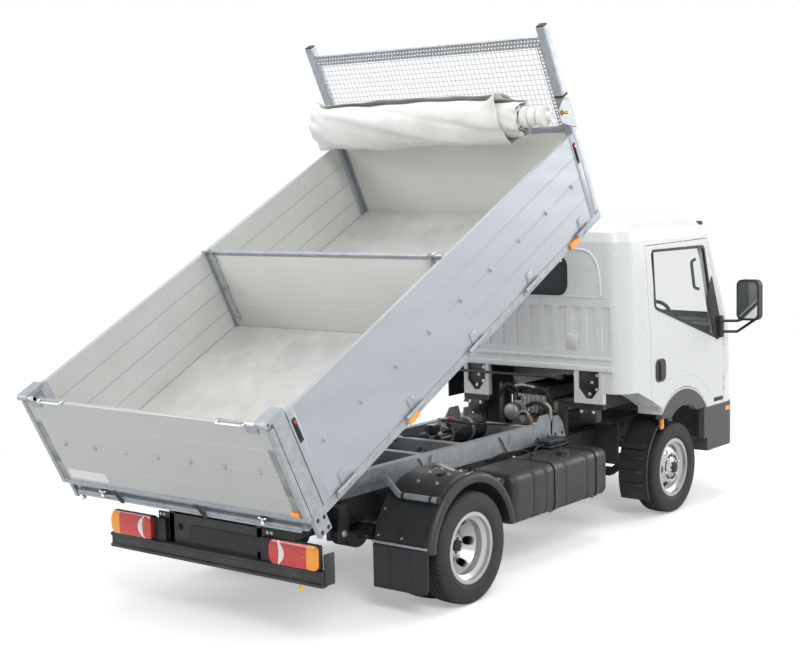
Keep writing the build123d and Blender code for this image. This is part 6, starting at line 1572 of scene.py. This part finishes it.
def bandAt(place, along, radius, wide, sides=36, rows=1):
    # a pulley: a drum with grooves round its rim, seen along the truck
    half = wide / 2
    rim = [(-half, 0.0001), (-half, radius * 0.86), (-half + 0.003, radius)]
    for k in range(rows):
        u = -half + 0.006 + (wide - 0.012) * (k + 0.5) / rows
        rim += [(u - 0.003, radius), (u, radius - 0.006), (u + 0.003, radius)]
    rim += [(half - 0.003, radius), (half, radius * 0.86), (half, 0.0001)]
    return lathe([(along + p, r) for p, r in rim], (0, place[0], place[1]), "x", sides)


def makeEngine(e):
    front, boxRear = e["front"], e["boxRear"]
    x = e["rear"]
    iron = [slab((x + 0.06, -0.2, 0.5), (front - 0.01, 0.2, 0.8), 0.014, "x", 3),
        slab((x + 0.1, -0.15, 0.4805), (front - 0.06, 0.15, 0.52), 0.012, "x", 3)]
    for z in (0.56, 0.64, 0.72):
        iron.append(slab((x + 0.12, -0.212, z), (front - 0.05, 0.212, z + 0.016), 0.005, "x"))
    for s in (-1, 1):
        low, high = across(s * 0.2, s * 0.3837)
        iron.append(slab((2.5, low, 0.59), (2.59, high, 0.635), 0.006, "y"))
        iron.append(tube([(2.545, s * 0.33, 0.635), (2.545, s * 0.33, 0.672)], 0.034, 20, up=(0, 1, 0)))
    iron.append(lathe(
        [(x - 0.001, 0.06), (x - 0.001, 0.15), (x + 0.07, 0.185), (x + 0.078, 0.185), (x + 0.078, 0.06)],
        (0, 0, 0.64), "x", 40))
    showPiece("engineBlock", iron, "castIron", "chassis", 35, replaces=("engine",))
    # gearbox: ribbed case that narrows rearwards, with its top cover and shaft flange
    case = lathe([(boxRear, 0.0001), (boxRear, 0.06), (boxRear + 0.01, 0.062), (boxRear + 0.012, 0.085),
        (boxRear + 0.06, 0.098), (boxRear + 0.07, 0.112), (x - 0.07, 0.128), (x - 0.03, 0.148), (x - 0.001, 0.15),
        (x - 0.001, 0.0001)], (0, 0, 0.585), "x", 36)
    alloy = [case]
    for k in range(5):
        place = boxRear + 0.075 + 0.036 * k
        alloy.append(lathe(
            [(place, 0.1), (place, 0.134 + 0.002 * k), (place + 0.008, 0.134 + 0.002 * k), (place + 0.008, 0.1)],
            (0, 0, 0.585), "x", 36, closed=True))
    alloy.append(slab((boxRear + 0.07, -0.07, 0.69), (x - 0.05, 0.07, 0.718), 0.008))
    # head and covers
    alloy.append(slab((x + 0.07, -0.185, 0.8), (front - 0.03, 0.165, 0.905), 0.014, "x", 3))
    alloy.append(slab((x + 0.03, -0.165, 0.812), (x + 0.075, 0.06, 0.968), 0.016, "x", 3))
    for y in np.linspace(-0.145, 0.04, 6):
        alloy.append(slab((x + 0.02, y - 0.004, 0.826), (x + 0.04, y + 0.004, 0.955), 0.003, "x"))
    # alternator: drum with ribs, and the compressor beside the turbo with its spiral
    alt = (0.135, 0.815)
    alloy.append(lathe([(x, 0.0001), (x, 0.045), (x + 0.008, 0.062), (x + 0.018, 0.068), (x + 0.08, 0.068),
        (x + 0.088, 0.06), (x + 0.088, 0.0001)], (0,) + alt, "x", 36))
    turn = np.arange(14) * 2 * np.pi / 14
    for q in turn:
        alloy.append(slab((x + 0.006, alt[0] + 0.055 * np.cos(q) - 0.003, alt[1] + 0.055 * np.sin(q) - 0.003),
            (x + 0.07, alt[0] + 0.055 * np.cos(q) + 0.003, alt[1] + 0.055 * np.sin(q) + 0.003), 0.001, "x"))
    q = np.linspace(0, 2 * np.pi * 0.9, 30)
    snail = np.stack([np.full(30, x + 0.022), 0.02 + 0.052 * np.cos(q), 0.775 + 0.052 * np.sin(q)], -1)
    alloy.append(tube(snail, 0.02, 14, up=(1, 0, 0), scale=np.linspace(0.45, 1.0, 30)))
    alloy.append(lathe([(x - 0.002, 0.0001), (x - 0.002, 0.026), (x + 0.045, 0.026), (x + 0.045, 0.0001)],
        (0, 0.02, 0.775), "x", 24))
    showPiece("engineAlloy", alloy, "castAlloy")
    dark = [slab((x + 0.09, -0.15, 0.905), (front - 0.05, 0.13, 1.02), 0.022, "x", 4),
        slab((x + 0.05, -0.12, 0.955), (x + 0.1, 0.02, 1.028), 0.014, "x", 3)]
    for y in (-0.11, -0.055, 0.0, 0.055):
        dark.append(slab((x + 0.11, y, 1.018), (front - 0.08, y + 0.02, 1.03), 0.004, "x"))
    dark.append(slab((x + 0.004, 0.19, 0.5), (x + 0.045, 0.239, 1.045), 0.012, "z", 3))
    dark.append(slab((x + 0.03, -0.239, 0.56), (x + 0.15, -0.2, 0.82), 0.012, "z", 3))
    dark.append(slab((x + 0.05, 0.15, 0.69), (x + 0.056, 0.37, 1.04), 0.002, "x"))
    dark.append(bandAt((-0.105, 0.72), x + 0.02, 0.062, 0.03, rows=3))
    dark.append(bandAt((-0.17, 0.845), x + 0.022, 0.034, 0.026, rows=2))
    dark.append(tube(smoothLine([(x + 0.02, -0.15, 0.705), (x + 0.02, -0.2, 0.84), (x + 0.02, -0.15, 0.872),
        (x + 0.02, -0.06, 0.745), (x + 0.02, -0.1, 0.662)], 8, closed=True), 0.006, 8, up=(1, 0, 0), closed=True))
    showPiece("engineCovers", dark, "blackFrame")
    # hoses, cable looms and pipes
    black = [[(x + 0.01, -0.06, 0.99), (x, -0.15, 1.02), (x + 0.01, -0.22, 0.96), (x + 0.03, -0.232, 0.86)],
        [(x + 0.02, 0.06, 0.985), (x + 0.004, 0.13, 1.03), (x + 0.01, 0.205, 0.985), (x + 0.03, 0.225, 0.88)],
        [(x + 0.015, -0.01, 0.87), (x + 0.002, -0.09, 0.905), (x + 0.006, -0.19, 0.87), (x + 0.02, -0.225, 0.76)],
        [(x + 0.01, 0.04, 1.01), (x, -0.03, 1.04), (x + 0.01, -0.11, 1.035), (x + 0.03, -0.17, 0.98)],
        [(x + 0.02, -0.225, 0.7), (x, -0.19, 0.62), (x + 0.01, -0.12, 0.57), (x + 0.06, -0.09, 0.54)]]
    hoses = [tube(smoothLine(p, 8), r, 12, up=(1, 0, 0)) for p, r in zip(black, (0.016, 0.02, 0.012, 0.01, 0.013))]
    # ribs round the thick intake hose
    thick = smoothLine(
        [(x + 0.055, 0.12, 0.96), (x + 0.03, 0.175, 1.0), (x + 0.04, 0.215, 1.01), (x + 0.1, 0.222, 1.005)], 16)
    hoses.append(tube(thick, 0.024, 14, up=(1, 0, 0), scale=1 + 0.1 * np.cos(np.arange(len(thick)) * np.pi / 2)))
    showPiece("engineHoses", hoses, "rubberBlack", "chassis", 60)
    pale = [[(x + 0.006, -0.19, 0.905), (x, -0.235, 0.88), (x, -0.238, 0.78), (x + 0.004, -0.19, 0.745),
        (x + 0.004, -0.06, 0.742)],
        [(x + 0.004, 0.08, 1.022), (x, 0.03, 1.036), (x, -0.06, 1.032), (x + 0.01, -0.11, 1.01)]]
    showPiece("enginePipes", [tube(roundedLine(p, 0.03), 0.011, 12, up=(1, 0, 0)) for p in pale], "beigeHose",
        "chassis", 60)
    hot = tube(smoothLine(
        [(x + 0.015, -0.03, 0.8), (x + 0.008, -0.055, 0.77), (x + 0.012, -0.06, 0.725), (x + 0.04, -0.05, 0.69)], 8),
        0.02, 14, up=(1, 0, 0))
    showPiece("engineHot", hot, "hotSteel", "chassis", 60)
    random = np.random.default_rng(e["seed"])
    spots = np.stack([np.full(e["spots"], x + 0.026), random.uniform(-0.17, 0.06, e["spots"]),
        random.uniform(0.82, 0.96, e["spots"])], -1)
    bolts = [repeated(facing(hexBolt(0.007, 0.008), (-1, 0, 0)), spots[:e["spotBolts"]])]
    bolts.append(repeated(facing(hexBolt(0.008, 0.008), (-1, 0, 0)),
        [(x - 0.001, 0.12 * np.cos(q), 0.6 + 0.12 * np.sin(q)) for q in np.arange(10) * 0.628]))
    showPiece("engineBolts", bolts, "zincBolt")
    # a pale reservoir with its neck, on a bracket on the left rail under the bed
    jars = [slab((1.89, 0.425, 0.665), (1.965, 0.515, 0.775), 0.018, "z", 4),
        slab((1.905, 0.45, 0.773), (1.94, 0.485, 0.812), 0.012, "z", 3)]
    showPiece("reservoirs", jars, "paleTank")
    stand = [slab((1.875, 0.3905, 0.65), (1.98, 0.525, 0.665), 0.004),
        slab((1.9, 0.3905, 0.57), (1.955, 0.4, 0.655), 0.003, "y")]
    showPiece("reservoirStand", stand, "blackFrame")


makeEngine(motor)
print("engine made")

# ---- seats with crowned cushions, grab handles, the battery box's lid and the silencer's bands
seatRows = {"rear": 2.56, "front": 2.98, "low": 1.2203, "high": 1.35, "top": 1.95, "backThick": 0.12,
    "places": ((-0.68, -0.18), (-0.12, 0.68))}


def cushion(low, high, crown, rounding, cells=28):
    # a closed pad: two sheets over one grid, u and v from -1 to 1; the upper one rises as (1-u^8)(1-v^8) and swells
    # in the middle as a cosine, with sewn channels where the cosine of v dips
    u, v = np.meshgrid(np.sin(np.linspace(-np.pi / 2, np.pi / 2, cells)),
        np.sin(np.linspace(-np.pi / 2, np.pi / 2, cells)), indexing="ij")
    plump = np.sqrt(np.clip((1 - u**8) * (1 - v**8), 0, 1))
    swell = crown * np.cos(u * np.pi / 2) * np.cos(v * np.pi / 2)
    channel = -0.006 * np.exp(-(((np.abs(v) - 0.55) / 0.05) ** 2)) - 0.005 * np.exp(-((u / 0.04) ** 2))
    low, high = np.asarray(low, float), np.asarray(high, float)
    pull = 1 - rounding * (1 - np.abs(u * v)) * np.maximum(np.abs(u), np.abs(v)) ** 6
    x = (low[0] + high[0]) / 2 + (high[0] - low[0]) / 2 * u * pull
    y = (low[1] + high[1]) / 2 + (high[1] - low[1]) / 2 * v * pull
    deep = high[2] - low[2]
    top = low[2] + (deep - crown) * (0.5 + 0.5 * plump) + (swell + channel) * plump
    foot = low[2] + (deep - crown) * 0.5 * (1 - plump)
    upper = np.stack([x, y, top], -1).reshape(-1, 3)
    under = np.stack([x, y, foot], -1).reshape(-1, 3)
    faces = gridFaces(cells, cells, False)
    border = np.concatenate([np.arange(cells), np.arange(1, cells) * cells + cells - 1,
        (cells - 1) * cells + np.arange(cells - 2, -1, -1), np.arange(cells - 2, 0, -1) * cells])
    count = cells * cells
    sheets = [tuple(f) for f in faces] + [tuple(i + count for i in f[::-1]) for f in faces]
    wall = [(int(a), int(b), int(b + count), int(a + count)) for a, b in zip(border, np.roll(border, -1))]
    return np.concatenate([upper, under]), sheets + wall


def makeSeats(k):
    for number, (near, far) in enumerate(k["places"]):
        base = cushion((k["rear"] + 0.004, near + 0.004, k["low"] + 0.002),
            (k["front"] - 0.004, far - 0.004, k["high"] - 0.002), 0.022, 0.05)
        # the back is the same pad stood up: its z runs forwards and its x runs up
        back = cushion((k["high"] - 0.01, near + 0.004, 0.0), (k["top"] - 0.004, far - 0.004, k["backThick"] - 0.006),
            0.02, 0.05)
        back = (np.stack([k["rear"] - k["backThick"] + 0.004 + back[0][:, 2], back[0][:, 1], back[0][:, 0]], -1),
            back[1])
        for name, part in (("seatBase", base), ("seatBack", back)):
            piece = showPiece(f"{name}_{number}", part, "seatCloth", "cab", 60,
                replaces=("seats",) if number == 0 and name == "seatBase" else ())
            finer = piece.modifiers.new("finer", "SUBSURF")
            finer.levels = finer.render_levels = 1
    handles = []
    for s in (-1, 1):
        path = roundedLine(
            [(3.3, s * 0.8, 1.93), (3.27, s * 0.78, 1.91), (3.33, s * 0.775, 1.7), (3.362, s * 0.8, 1.69)], 0.03, 6)
        handles.append(tube(path, 0.012, 12, up=(0, 1, 0)))
    showPiece("grabHandles", handles, "darkPlastic", "cab", 60)
    lid = [slab((1.275, 0.415, 0.6402), (1.835, 0.805, 0.655), 0.008, "z", 3),
        slab((1.3, 0.8005, 0.4), (1.81, 0.808, 0.62), 0.01, "y")]
    for x in (1.4, 1.555, 1.71):
        lid.append(slab((x - 0.02, 0.806, 0.42), (x + 0.02, 0.814, 0.6), 0.006, "y"))
    showPiece("batteryLid", lid, "darkPlastic")
    bands = [lathe([(0.5 * (a + b) - 0.004, 0.0951), (a, 0.0965), (b, 0.0965), (0.5 * (a + b) + 0.004, 0.0951)],
        (0, 0.62, 0.52), "x", 40, closed=True) for a, b in ((0.78, 0.82), (1.06, 1.1))]
    ends = [lathe([(x - 0.004, 0.09), (x - 0.004, 0.0975), (x + 0.004, 0.0975), (x + 0.004, 0.09)], (0, 0.62, 0.52),
        "x", 40, closed=True) for x in (0.706, 1.154)]
    showPiece("silencerBands", bands + ends, "hotSteel")


makeSeats(seatRows)
print("seats made")


low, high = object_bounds()
({
    "cad": [list(cadBox[0]), list(cadBox[1])],
    "visual": [list(low), list(high)],
})
